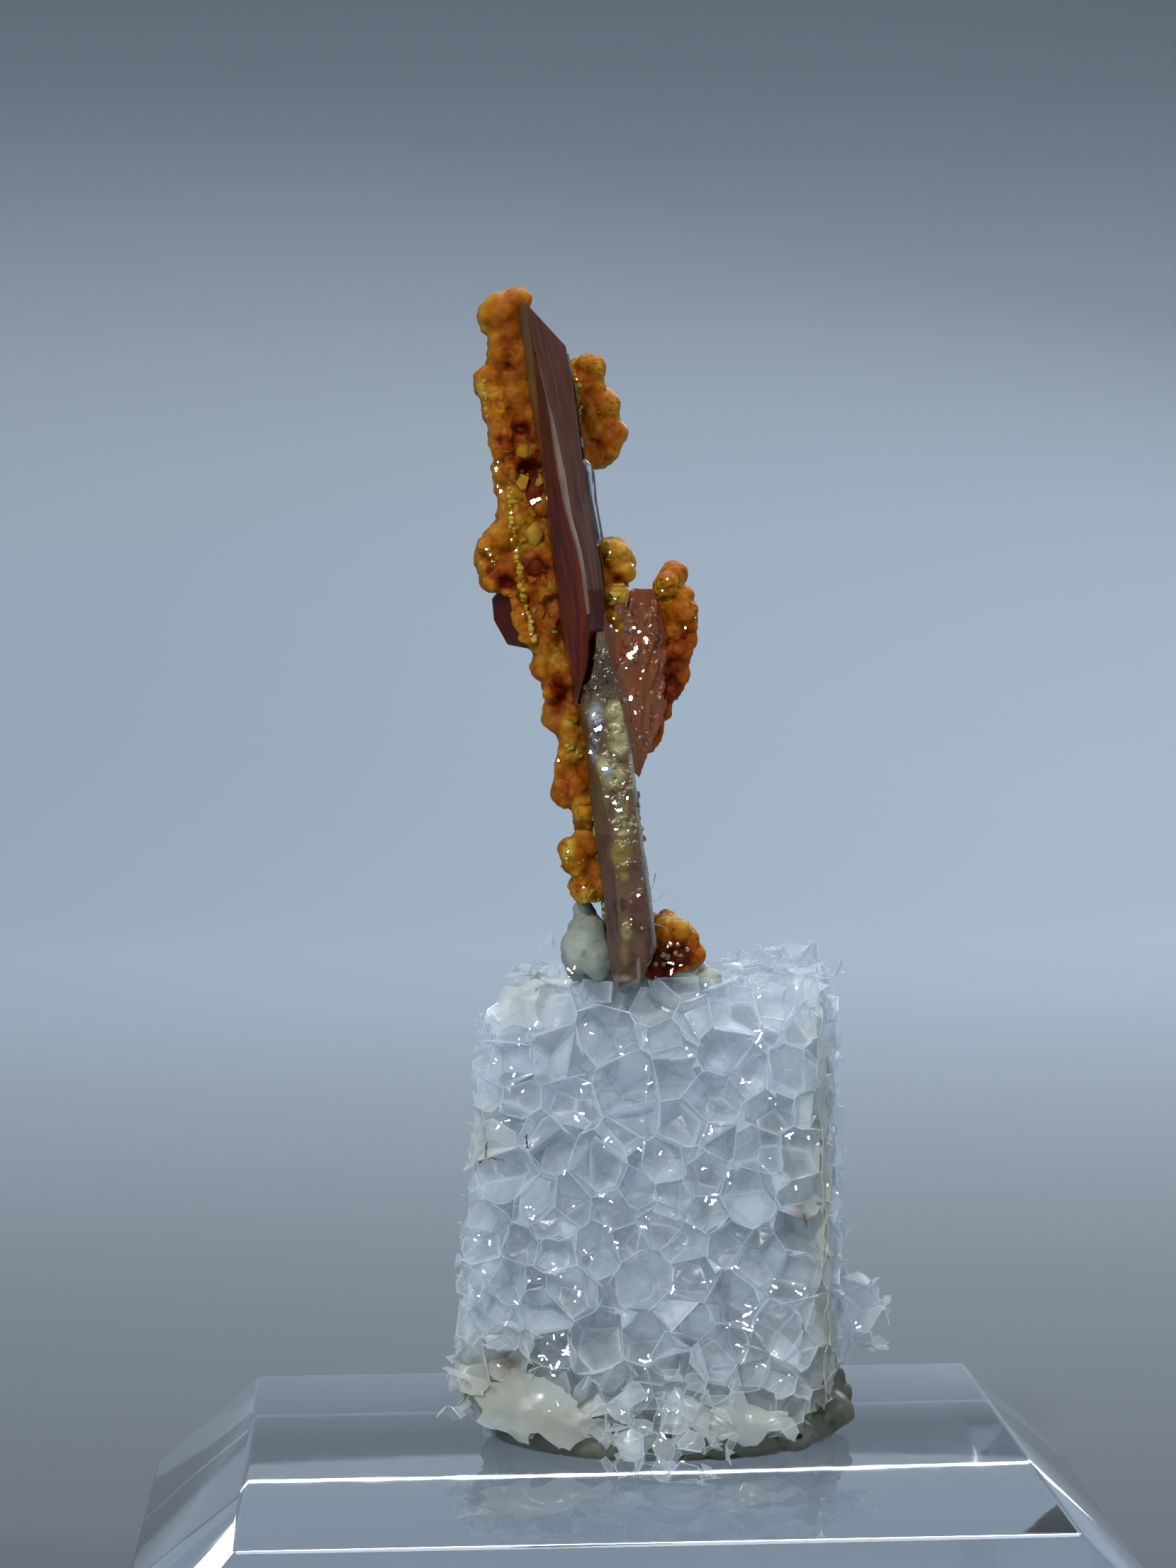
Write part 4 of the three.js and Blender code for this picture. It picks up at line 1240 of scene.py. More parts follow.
def makeSidePlate():
    s = sidePlateLook
    dice = random.Random(s["seed"])
    bm = bmesh.new()
    addHull(bm, s["corners"])
    for _ in range(s["blades"]):
        z = dice.uniform(34.2, 39.2)
        left, right = along(s["leftLine"], z), along(s["rightLine"], z)
        t = dice.random()
        spot = Vector((left + (right - left) * t, -1.35 + 1.05 * t + dice.uniform(-0.02, 0.1), z))
        lean = Vector((0.28 + dice.uniform(-0.25, 0.25), dice.uniform(-0.25, 0.1), 1))
        long, wide, thick = (dice.uniform(*limits) for limits in s["bladeSizes"])
        bladedCrystal(bm, spot, lean, long, wide, thick, dice)
    mesh = melted(meshOf("sidePlate", bm), s["voxel"], 1)
    points, normals = pointsOfMesh(mesh), normalsOfMesh(mesh)
    lift = np.array([noise.noise(Vector(p) * 5.0) * 0.03 + noise.noise(Vector(p) * 13.0) * 0.015
                     for p in points])
    movePoints(mesh, points + normals * lift[:, None])

    def addGrains(bm, surface, mark):
        # grains with a light value take the painted sparkle colour
        for _ in range(s["grains"]):
            spot = seenFromPhoto(surface, dice.uniform(-0.6, 1.0), -1.0, dice.uniform(34.4, 39.2))
            if spot is not None:
                mark(addCrystal(bm, spot, dice.uniform(*s["grainSize"]), dice), light=dice.random() ** 2)
        for x, z, size in s["glints"]:
            spot = seenFromPhoto(surface, x, -1.2, z)
            if spot is not None:
                mark(addGlint(bm, spot, size * 1.25, dice), glint=1.0, light=1.0)

    return withStuds(mesh, ("light", "glint"), addGrains)


def makeClearRim():
    # a clear layer that stands along the blade's right face
    r, b = rimLook, bladeLook
    rings, heights = [], list(np.arange(r["low"], r["high"], r["row"]))
    for z in heights:
        right, behind, wide = along(b["rightLine"], z), along(b["rightBack"], z), along(r["width"], z)
        near = right + r["gap"] + 0.012 * noise.noise(Vector((0, 0, z * 2.3)))
        far = max(behind, right - 0.35) + r["gap"]
        rings.append([(near, -1.75), (near + wide * 0.5, -1.9), (near + wide, -1.72), (far + wide, 3.5),
                      (far + wide * 0.5, 3.6), (far, 3.5)])
    return bevelled(loftMesh("clearRim", rings, heights), 0.02)


def wulfeniteMaterial():
    material, tree, shader = newMaterial("wulfenite")
    patches, grain = grainInto(
        tree, shader, Stretch=(1.0, 1.0, 0.06), Patch_Scale=420.0, Grain_Scale=1100.0,
        Smoothest=0.18, Roughest=0.36, Pit_Scale=900.0, Pit_Strength=0.12, Pit_Depth=0.0001)
    lower = rampOf(tree, [(0.3, (0.038, 0.003, 0.0003)), (0.55, (0.078, 0.008, 0.0006)),
                          (0.8, (0.12, 0.024, 0.002))], patches)
    upper = rampOf(tree, [(0.3, (0.040, 0.006, 0.0003)), (0.7, (0.082, 0.018, 0.001))], patches)
    colour = blendColours(tree, attributeOf(tree, "deep"), lower, upper)
    oliveTone = rampOf(tree, [(0.3, (0.095, 0.042, 0.007)), (0.7, (0.15, 0.080, 0.028))], grain)
    lightTone = rampOf(tree, [(0.3, (0.12, 0.075, 0.048)), (0.7, (0.24, 0.165, 0.125))], grain)
    mauveTone = rampOf(tree, [(0.3, (0.078, 0.028, 0.016)), (0.7, (0.118, 0.048, 0.031))], grain)
    colour = blendColours(tree, attributeOf(tree, "olive"), colour, oliveTone)
    colour = blendColours(tree, attributeOf(tree, "light"), colour, lightTone)
    colour = blendColours(tree, attributeOf(tree, "mauve"), colour, mauveTone)
    # painted reflection and shade: the streaks brighten the base colour towards blue or darken it
    paintedStreaks = rampOf(tree, [(0.0, (0.62, 0.52, 0.50)), (0.5, (1.0, 1.0, 1.0)), (1.0, (1.3, 1.45, 1.55))],
                   attributeOf(tree, "band"))
    tree.links.new(blendColours(tree, 1.0, colour, paintedStreaks, "MULTIPLY"), shader.inputs["Base Color"])
    setInputs(shader, IOR=1.6, Specular_IOR_Level=0.25, Subsurface_Weight=0.1, Subsurface_Scale=0.0005,
              Subsurface_Radius=(1.0, 0.25, 0.08))
    return material


def stemMaterial():
    material, tree, shader = newMaterial("coatedWulfenite")
    patches, grain = grainInto(tree, shader, "glint", Patch_Scale=300.0, Grain_Scale=800.0, Smoothest=0.12,
                               Roughest=0.42, Pit_Scale=1500.0, Pit_Strength=0.25, Pit_Depth=0.00008)
    colour = rampOf(tree, [(0.3, (0.050, 0.022, 0.007)), (0.5, (0.11, 0.060, 0.018)),
                           (0.75, (0.17, 0.11, 0.035))], patches)
    for name, stops in stemTones.items():
        broken = maths(tree, "MULTIPLY_ADD", patches, 1.6, 0.2)
        mask = maths(tree, "MULTIPLY", attributeOf(tree, name), broken, clamp=True)
        colour = blendColours(tree, mask, colour, rampOf(tree, stops, grain))
    colourInto(tree, shader, colour)
    setInputs(shader, IOR=1.7, Specular_IOR_Level=0.35, Subsurface_Weight=0.15, Subsurface_Scale=0.0004,
              Subsurface_Radius=(0.8, 0.5, 0.2))
    return material


def plateMaterial():
    material, tree, shader = newMaterial("amberWulfenite")
    patches, grain = grainInto(
        tree, shader, "glint", Stretch=(1.0, 1.0, 0.4), Patch_Scale=330.0, Grain_Scale=900.0,
        Smoothest=0.1, Roughest=0.34, Pit_Scale=1700.0, Pit_Strength=0.3, Pit_Depth=0.00008)
    body = rampOf(tree, [(0.3, (0.10, 0.012, 0.0008)), (0.5, (0.20, 0.050, 0.008)),
                         (0.72, (0.30, 0.12, 0.045))], patches)
    # painted sparkle: light pinkish grains that stand in for the plate's small glints
    paintedSparkle = rampOf(tree, [(0.3, (0.36, 0.2, 0.12)), (0.7, (0.6, 0.48, 0.4))], grain)
    body = blendColours(tree, attributeOf(tree, "light"), body, paintedSparkle)
    colourInto(tree, shader, body)
    setInputs(shader, IOR=1.8, Specular_IOR_Level=0.3, Subsurface_Weight=0.35, Subsurface_Scale=0.0006,
              Subsurface_Radius=(1.0, 0.3, 0.08))
    return material


def rimMaterial():
    material, tree, shader = newMaterial("clearRim")
    _, grain = grainInto(tree, shader, Stretch=(1.0, 1.0, 0.05), Patch_Scale=500.0, Grain_Scale=900.0,
                         Smoothest=0.02, Roughest=0.12, Pit_Scale=900.0, Pit_Strength=0.2, Pit_Depth=0.0001)
    tree.links.new(rampOf(tree, [(0.3, (0.80, 0.82, 0.82)), (0.7, (0.96, 0.98, 1.0))], grain),
                   shader.inputs["Base Color"])
    setInputs(shader, IOR=1.3, Transmission_Weight=1.0)
    return material


def makeWulfenite():
    bm = bmesh.new()
    addHull(bm, darkCrystalLook)
    bmesh.ops.dissolve_limit(bm, angle_limit=0.03, verts=bm.verts[:], edges=bm.edges[:])
    dark = bevelled(meshOf("darkCrystal", bm), 0.05)
    place("wulfenite_blade", joinMeshes("blade", [makeMainBlade(), dark]), wulfeniteMaterial(), "wulfenite",
          ("wulfenite_crystals",), 25)
    place("wulfenite_stem", makeStem(), stemMaterial(), "wulfenite", (), 50)
    place("wulfenite_side_plate", makeSidePlate(), plateMaterial(), "wulfenite", (), 40)
    place("wulfenite_clear_rim", makeClearRim(), rimMaterial(), "wulfenite", (), 25)


makeWulfenite()
print("wulfenite made")


# mimetite: waxy orange crusts, each grown from an outline in the photo's view, with low lumps
# over its front, faceted grains, yellow beads and small glints

leftCrustLook = {
    "outline": [
        (-4.47, 47.94), (-4.43, 48.19), (-4.27, 48.47), (-3.98, 48.69), (-3.69, 48.81), (-3.37, 48.84),
        (-3.12, 48.77), (-3.0, 48.54), (-3.05, 48.32), (-3.1, 47.97), (-2.95, 47.25), (-2.75, 46.18),
        (-2.62, 44.96), (-2.52, 43.95), (-2.42, 42.95), (-2.28, 42.23), (-2.2, 41.15), (-2.1, 40.07),
        (-1.93, 38.99), (-1.85, 38.2), (-1.7, 37.48), (-1.5, 36.61), (-1.4, 36.01), (-1.25, 35.14),
        (-1.2, 34.28), (-1.1, 33.42), (-1.05, 32.55), (-1.15, 32.29), (-1.36, 32.29), (-1.4, 32.47),
        (-1.75, 32.64), (-1.79, 32.9), (-1.68, 33.25), (-2.0, 33.27), (-2.25, 33.52), (-2.34, 33.95),
        (-2.25, 34.38), (-2.16, 34.81), (-2.11, 35.15), (-2.5, 35.42), (-2.58, 35.85), (-2.62, 36.28),
        (-2.61, 36.88), (-2.74, 37.14), (-2.86, 37.66), (-3.03, 37.79), (-3.33, 38.08), (-3.56, 38.61),
        (-3.62, 39.47), (-4.0, 39.55), (-4.22, 39.62), (-4.47, 40.02), (-4.61, 40.38), (-4.62, 40.74),
        (-4.53, 41.1), (-4.28, 41.38), (-4.06, 41.6), (-3.91, 41.81), (-3.87, 42.17), (-3.94, 42.6),
        (-4.04, 42.96), (-4.07, 43.32), (-4.03, 43.68), (-4.14, 44.04), (-4.21, 44.54), (-4.31, 44.97),
        (-4.38, 45.33), (-4.53, 45.69), (-4.55, 45.97), (-4.5, 46.19), (-4.33, 46.4), (-4.22, 46.69),
        (-4.18, 46.9), (-4.14, 47.26), (-4.21, 47.44), (-4.39, 47.58)],
    # from z, to z, front, back, how much of its width is kept
    "bodies": [(46.8, 49.0, -1.45, -0.3, 1.0), (36.9, 47.2, -1.75, 0.6, 1.0), (36.9, 46.9, 0.5, 4.2, 0.62),
               (32.0, 37.3, -1.75, -0.6, 1.0)],
    "lumps": [(-3.8, -1.0, 48.1, 0.70), (-3.45, -0.9, 48.4, 0.44), (-3.55, -1.15, 47.5, 0.5),
              (-2.05, -1.2, 33.8, 0.36), (-3.95, -0.9, 40.6, 0.68)],
    "rows": {"low": 37.3, "high": 47.0, "rise": 1.15, "front": 0.1, "back": 4.3, "step": 1.1},
    "skin": (0.34, 0.60), "apart": 0.46, "skinTop": 47.0,
    "tone": 0.44, "paintedRimLight": 0.22, "voxel": 0.06, "melt": 10,
    "grain": 0.8, "blocky": 0.045, "ragged": 0.03, "seed": 51,
    # tone shifts and dents: x, z, radius, amount
    "spots": [(-3.21, 44.56, 0.24, -0.7), (-3.05, 43.31, 0.34, -1.0), (-2.79, 40.29, 0.34, -0.7),
              (-2.24, 36.72, 0.4, -0.35), (-4.45, 45.74, 0.2, 0.5), (-3.2, 43.85, 0.28, 0.5),
              (-2.4, 37.6, 0.35, 0.3), (-1.86, 35.6, 0.3, 0.5), (-1.79, 34.7, 0.3, 0.6),
              (-2.05, 33.7, 0.35, -0.15), (-1.6, 32.9, 0.3, 0.15), (-3.6, 45.6, 0.5, 0.15),
              (-3.0, 41.2, 0.4, 0.35), (-3.5, 42.6, 0.5, 0.3), (-3.8, 48.3, 0.5, 0.02),
              (-3.5, 47.3, 0.35, -0.12), (-3.8, 39.9, 0.3, -0.6), (-2.55, 38.5, 0.4, 0.1),
              (-2.2, 36.2, 0.3, -0.3), (-2.75, 45.4, 0.2, -0.12), (-3.9, 44.2, 0.25, -0.2),
              (-4.35, 40.2, 0.3, -0.15)],
    "dents": [(-3.21, 44.56, 0.2, 0.15), (-3.05, 43.31, 0.28, 0.35), (-3.75, 39.85, 0.25, 0.3),
              (-2.1, 36.4, 0.2, 0.15), (-3.2, 39.3, 0.15, 0.12)],
    # faceted crystals: x, z, radius, tone
    "crystals": [(-3.27, 42.85, 0.36, 0.9), (-2.87, 42.5, 0.34, 0.12), (-2.92, 41.35, 0.44, 0.85),
                 (-3.56, 42.24, 0.22, 0.95), (-2.78, 42.95, 0.22, 0.95), (-2.79, 40.3, 0.38, 0.1),
                 (-3.2, 43.85, 0.26, 0.85), (-2.9, 43.95, 0.2, 0.6), (-3.35, 41.75, 0.26, 0.6),
                 (-3.0, 42.0, 0.24, 0.7), (-2.6, 39.5, 0.3, 0.5), (-2.45, 38.6, 0.36, 0.45),
                 (-1.86, 35.6, 0.28, 0.9), (-1.85, 34.75, 0.22, 1.0), (-1.62, 34.6, 0.18, 0.9),
                 (-3.75, 43.25, 0.2, 0.6), (-3.6, 41.1, 0.22, 0.5), (-3.0, 39.9, 0.25, 0.55),
                 (-3.35, 40.0, 0.22, 0.7), (-2.3, 37.7, 0.3, 0.55)],
    "scatter": (46, 38.2, 44.0, 0.06, 0.14, 0.45, 0.9),
    # strings of yellow beads: x, z, x, z, how many, radius, tone
    "beads": [(-3.63, 42.74, -3.64, 41.66, 9, 0.07, 1.0), (-3.64, 41.66, -3.43, 40.8, 8, 0.07, 1.0),
              (-3.43, 40.6, -3.3, 39.65, 10, 0.10, 0.95), (-3.3, 39.6, -2.95, 38.1, 14, 0.09, 0.95),
              (-4.45, 46.0, -4.3, 44.9, 9, 0.05, 0.9), (-4.38, 40.88, -4.1, 40.4, 6, 0.05, 0.95),
              (-2.0, 34.9, -1.6, 34.6, 5, 0.09, 1.0), (-3.6, 42.9, -3.1, 43.15, 5, 0.06, 0.95)],
    "glintPlane": -2.2,
    "glints": [(-2.96, 42.30, 0.20), (-2.80, 42.37, 0.16), (-3.62, 41.98, 0.08), (-3.93, 42.63, 0.10),
               (-4.02, 42.77, 0.07), (-4.06, 43.3, 0.12), (-4.0, 43.52, 0.08), (-4.2, 40.53, 0.09),
               (-4.27, 40.71, 0.06), (-4.38, 40.88, 0.06), (-3.48, 40.84, 0.08), (-3.62, 41.16, 0.06),
               (-3.45, 42.95, 0.06), (-3.3, 38.9, 0.05), (-2.25, 34.43, 0.09), (-1.32, 38.36, 0.1),
               (-1.88, 37.63, 0.07), (-3.05, 38.3, 0.06), (-3.4, 40.2, 0.05)],
}
leftPatchLook = {
    "outline": [(-1.0, 32.25), (-1.40, 32.25), (-1.66, 32.13), (-1.84, 31.87), (-2.01, 31.78),
                (-2.03, 31.26), (-1.76, 31.17), (-1.72, 30.74), (-1.87, 30.48), (-1.77, 30.14),
                (-1.55, 29.98), (-1.16, 30.04), (-0.73, 30.12), (-0.75, 30.99), (-0.9, 31.68)],
    "bodies": [(29.9, 32.4, -1.3, 0.2, 1.0)],
    "lumps": [(-1.3, 0.0, 31.3, 0.6), (-1.25, 0.8, 30.7, 0.55)],
    "skin": (0.28, 0.5), "apart": 0.42, "skinTop": 99,
    "tone": 0.46, "paintedRimLight": 0.35, "voxel": 0.05, "melt": 10,
    "grain": 0.8, "blocky": 0.03, "ragged": 0.02, "seed": 52,
    "spots": [(-1.44, 30.2, 0.22, 0.5), (-1.95, 31.5, 0.18, 0.6), (-1.4, 31.6, 0.4, -0.02),
              (-1.7, 30.55, 0.15, -0.4)],
    "dents": [(-1.75, 31.0, 0.15, 0.1)],
    "crystals": [(-1.95, 31.5, 0.13, 0.9), (-1.5, 30.6, 0.16, 0.6), (-1.3, 30.3, 0.18, 0.65),
                 (-1.7, 30.4, 0.12, 0.5)],
    "scatter": (14, 30.1, 32.0, 0.05, 0.1, 0.4, 0.9),
    "beads": [(-2.0, 31.7, -1.98, 31.3, 5, 0.06, 1.0), (-1.6, 30.05, -1.1, 30.12, 5, 0.06, 0.85)],
    "glintPlane": -1.8,
    "glints": [(-1.98, 31.62, 0.07), (-2.0, 31.4, 0.05), (-1.5, 30.5, 0.05)],
}
rightUpperLook = {
    "outline": [(-1.60, 46.62), (-1.27, 46.69), (-0.87, 46.74), (-0.79, 46.47), (-0.66, 46.21),
                (-0.64, 45.92), (-0.44, 45.77), (-0.22, 45.44), (-0.23, 45.15), (-0.15, 44.86),
                (-0.02, 44.57), (-0.03, 44.28), (-0.16, 43.84), (-0.39, 43.55), (-0.68, 43.35),
                (-0.98, 43.33), (-1.25, 43.37), (-1.42, 43.7), (-1.58, 44.43), (-1.7, 45.16),
                (-1.75, 45.89)],
    "bodies": [(43.2, 46.9, 0.3, 2.2, 1.0)],
    "lumps": [(-1.2, 1.8, 45.6, 0.65), (-0.9, 2.4, 44.7, 0.75), (-0.8, 3.0, 43.9, 0.6)],
    "skin": (0.28, 0.5), "apart": 0.5, "skinTop": 99,
    "tone": 0.46, "paintedRimLight": 0.3, "voxel": 0.05, "melt": 14,
    "grain": 1.6, "blocky": 0.02, "ragged": 0.03, "seed": 53,
    "spots": [(-1.5, 45.7, 0.18, 0.5), (-0.9, 45.1, 0.4, 0.1), (-0.7, 44.0, 0.4, -0.12),
              (-1.2, 46.3, 0.3, 0.0)],
    "dents": [],
    "crystals": [(-1.45, 45.9, 0.14, 0.9), (-1.42, 45.5, 0.14, 0.85), (-1.4, 45.1, 0.12, 0.95)],
    "scatter": (26, 43.5, 46.6, 0.04, 0.08, 0.35, 0.55),
    "beads": [(-1.5, 46.2, -1.35, 44.9, 12, 0.045, 1.0), (-0.85, 46.6, -0.66, 46.0, 5, 0.05, 0.8)],
    "glintPlane": 0.2,
    "glints": [(-1.48, 46.1, 0.06), (-1.45, 45.6, 0.06), (-1.38, 45.15, 0.08), (-1.2, 43.7, 0.07),
               (-1.1, 43.45, 0.05)],
}
rightMiddleLook = {
    "outline": [(-1.05, 41.07), (-0.64, 41.17), (-0.35, 41.13), (-0.06, 40.91), (0.19, 40.62),
                (0.26, 40.33), (0.18, 39.97), (0.0, 39.83), (-0.04, 39.54), (0.03, 39.32),
                (-0.15, 39.03), (-0.2, 38.75), (-0.28, 38.13), (-0.63, 38.14), (-0.95, 38.74),
                (-1.05, 40.42)],
    "bodies": [(38.0, 41.3, -1.05, 0.4, 1.0)],
    "lumps": [(-0.3, -0.6, 40.45, 0.56), (-0.40, -1.15, 39.45, 0.42), (-0.35, 0.4, 40.3, 0.6),
              (-0.4, 1.3, 40.0, 0.55), (-0.52, -1.15, 38.75, 0.3)],
    "skin": (0.2, 0.3), "apart": 0.5, "skinTop": 99,
    "tone": 0.54, "paintedRimLight": 0.3, "voxel": 0.045, "melt": 12,
    "grain": 0.6, "blocky": 0.02, "ragged": 0.0, "seed": 54,
    "spots": [(-0.4, 39.45, 0.3, 0.5), (-0.3, 40.6, 0.4, 0.15), (-0.35, 39.95, 0.22, -0.45),
              (-0.5, 38.5, 0.3, -0.15), (-0.15, 40.2, 0.25, 0.2)],
    "dents": [(-0.3, 39.93, 0.16, 0.14)],
    "crystals": [(-0.45, 39.5, 0.24, 0.95), (-0.25, 39.35, 0.2, 0.9), (-0.55, 39.2, 0.16, 0.75),
                 (-0.5, 38.75, 0.14, 0.6)],
    "scatter": (22, 38.2, 40.9, 0.04, 0.09, 0.4, 1.0),
    "beads": [(-0.7, 41.0, -0.6, 40.5, 5, 0.06, 0.9), (-0.6, 39.75, -0.15, 39.75, 6, 0.05, 1.0)],
    "glintPlane": -1.6,
    "glints": [(-0.45, 39.35, 0.08), (-0.6, 40.75, 0.07), (0.1, 40.35, 0.05), (-0.5, 38.75, 0.08),
               (-0.4, 38.35, 0.07)],
}
rightLowerLook = {
    "outline": [(1.31, 40.27), (1.61, 40.09), (1.91, 39.57), (2.17, 38.87), (2.21, 38.52),
                (2.16, 37.83), (1.94, 37.48), (1.85, 36.61), (1.67, 36.35), (1.4, 36.0), (1.27, 35.66),
                (1.09, 35.4), (1.09, 35.05), (0.87, 34.61), (0.56, 34.53), (0.3, 34.88), (0.25, 35.41),
                (0.32, 36.1), (0.6, 36.8), (0.85, 37.4), (1.0, 38.1), (1.05, 38.71), (0.98, 39.23),
                (0.85, 39.58), (1.09, 40.01)],
    "bodies": [(34.4, 40.4, 0.0, 0.9, 1.0)],
    "lumps": [(1.0, 1.1, 38.8, 0.65), (0.9, 1.2, 37.8, 0.7), (0.7, 1.1, 36.8, 0.6),
              (1.2, 0.9, 39.3, 0.45)],
    "skin": (0.26, 0.42), "apart": 0.5, "skinTop": 99,
    "tone": 0.40, "paintedRimLight": 0.16, "voxel": 0.05, "melt": 9,
    "grain": 1.3, "blocky": 0.035, "ragged": 0.05, "seed": 55,
    "spots": [(1.45, 39.5, 0.5, 0.22), (1.8, 38.6, 0.35, 0.08), (1.35, 37.3, 0.8, -0.26),
              (1.0, 36.0, 0.8, -0.3), (0.8, 35.1, 0.4, -0.1), (1.1, 39.2, 0.2, 0.15)],
    "dents": [],
    "crystals": [(1.3, 39.75, 0.16, 0.6), (1.15, 39.5, 0.12, 0.7)],
    "scatter": (46, 34.8, 40.0, 0.04, 0.09, 0.15, 0.5),
    "beads": [(1.08, 39.9, 1.0, 39.3, 6, 0.05, 0.7)],
    "glintPlane": -0.2,
    "glints": [(1.8, 38.4, 0.08), (1.25, 39.9, 0.06), (1.1, 39.55, 0.05), (2.1, 38.7, 0.05),
               (1.2, 37.5, 0.05)],
}
baseClusterLook = {
    "outline": [(0.95, 29.39), (1.3, 29.43), (1.73, 29.21), (2.08, 28.9), (2.2, 28.55), (2.33, 28.19),
                (2.16, 28.02), (1.98, 27.85), (1.46, 27.77), (0.93, 27.6), (0.6, 27.5), (0.55, 27.7),
                (0.6, 28.14), (0.68, 28.66), (0.78, 29.18)],
    "bodies": [(27.4, 29.5, -1.0, 0.3, 1.0)],
    "lumps": [(1.1, 0.5, 28.7, 0.55), (1.6, 0.5, 28.3, 0.55)],
    "skin": (0.2, 0.32), "apart": 0.34, "skinTop": 99,
    "tone": 0.44, "paintedRimLight": 0.3, "voxel": 0.045, "melt": 4,
    "grain": 1.0, "blocky": 0.03, "ragged": 0.02, "seed": 56,
    "spots": [(1.05, 28.2, 0.45, -0.75), (0.8, 27.8, 0.5, -0.75), (1.6, 28.2, 0.35, -0.5),
              (1.5, 29.0, 0.4, 0.15)],
    "dents": [(1.2, 28.35, 0.3, 0.15), (0.8, 28.0, 0.25, 0.15)],
    "crystals": [],
    "pebbles": [(0.94, 28.36, 0.12), (1.11, 28.26, 0.10), (1.33, 28.4, 0.12), (1.42, 28.66, 0.08),
                (1.16, 28.66, 0.12), (1.72, 28.5, 0.10), (0.72, 28.06, 0.09), (0.98, 28.05, 0.10),
                (1.5, 28.3, 0.10), (1.25, 28.08, 0.08)],
    "scatter": (26, 27.8, 29.2, 0.04, 0.09, 0.1, 0.7),
    "beads": [],
    "glintPlane": -1.3,
    "glints": [(1.17, 28.7, 0.10), (1.1, 28.6, 0.06), (1.4, 28.7, 0.05), (0.95, 28.4, 0.05),
               (1.7, 28.55, 0.05)],
}


# what all the crusts share, in millimetres
crustGrowth = {
    "outlineStep": 0.11,
    "bodySunk": 0.32,
    "bodyShort": 0.12,
    "sideLumps": 6.5,
    "sideRadius": (0.22, 0.46),
    "sideProud": 0.07,
    "backLumps": 7,
    "backRadius": (0.2, 0.45),
    "rowRadius": (0.62, 0.86),
    "skinTries": 5000,
    "cells": 2.6,
    "fineCells": 7.5,
    "calmAbove": 47.0,
    "highest": 48.88,
    "toneDepth": 1.6,
    "rimWide": 0.13,
}


def raggedOutline(outline, amount):
    # the outline in short steps, each moved a little
    fine = []
    for i, (x, z) in enumerate(outline):
        nextX, nextZ = outline[(i + 1) % len(outline)]
        steps = max(1, int(math.hypot(nextX - x, nextZ - z) / crustGrowth["outlineStep"]))
        for k in range(steps):
            px, pz = x + (nextX - x) * k / steps, z + (nextZ - z) * k / steps
            shift = noise.noise_vector(Vector((px, 0.3, pz)) * 4.5) * amount * 2
            fine.append((px + shift.x, pz + shift.z))
    return fine


def isInside(x, z, outline):
    inside = False
    for i, (ax, az) in enumerate(outline):
        bx, bz = outline[i - 1]
        if (az > z) != (bz > z) and x < (bx - ax) * (z - az) / (bz - az) + ax:
            inside = not inside
    return inside


def rimGaps(x, z, outline):
    # how far each point is from the outline
    best = np.full(len(x), 9.0)
    for i, (ax, az) in enumerate(outline):
        bx, bz = outline[i - 1]
        dx, dz = bx - ax, bz - az
        t = np.clip(((x - ax) * dx + (z - az) * dz) / max(dx * dx + dz * dz, 1e-9), 0, 1)
        best = np.minimum(best, np.hypot(x - ax - t * dx, z - az - t * dz))
    return best


def rimGap(x, z, outline):
    return float(rimGaps(np.array([x]), np.array([z]), outline)[0])


def addSideLumps(bm, flat, front, back, dice):
    # lumps round the sides and over the back that hardly pass the outline seen from the front
    g = crustGrowth
    zs = [z for _, z in flat]
    reach = sum(math.dist(a, b) for a, b in zip(flat, flat[1:] + flat[:1]))
    for _ in range(int(g["sideLumps"] * reach * (back - front))):
        i = dice.randrange(len(flat))
        (ax, az), (bx, bz) = flat[i - 1], flat[i]
        length = max(math.hypot(bx - ax, bz - az), 1e-6)
        radius = dice.uniform(*g["sideRadius"])
        depth = dice.uniform(front + 0.15, back + 0.1)
        for turn in (1, -1):
            inX, inZ = turn * (az - bz) / length, turn * (bx - ax) / length
            x, z = bx + inX * (radius - g["sideProud"]), bz + inZ * (radius - g["sideProud"])
            if isInside(x, z, flat) and min(zs) < z < max(zs):
                addBall(bm, (x, depth, z), radius, 2, dice, 0.2)
    for _ in range(int(g["backLumps"] * reach)):
        x, z = dice.choice(flat)[0] + dice.uniform(-0.8, 0.8), dice.uniform(min(zs), max(zs))
        if isInside(x, z, flat):
            radius = min(dice.uniform(*g["backRadius"]), rimGap(x, z, flat) + 0.05)
            addBall(bm, (x, back, z), radius, 2, dice, 0.2)


def addBodies(bm, look, dice):
    # the crust's bulk: slices of the outline with their own depths
    outline = raggedOutline(look["outline"], look["ragged"])
    for low, high, front, back, keep in look["bodies"]:
        part = [(x, 0.0, z) for x, z in outline]
        part = clipPolygon(part, (0, 0, 1), high)
        part = clipPolygon(part, (0, 0, -1), -low)
        flat = []
        for x, _, z in part:
            face = along(bladeLook["leftLine"], z) + 0.25
            flat.append((face + (x - face) * keep if keep < 1 and x < face else x, z))
        addPrism(bm, flat, front + (crustGrowth["bodySunk"] if keep == 1.0 else 0.0),
                 back - crustGrowth["bodyShort"])
        addSideLumps(bm, flat, front, back, dice)


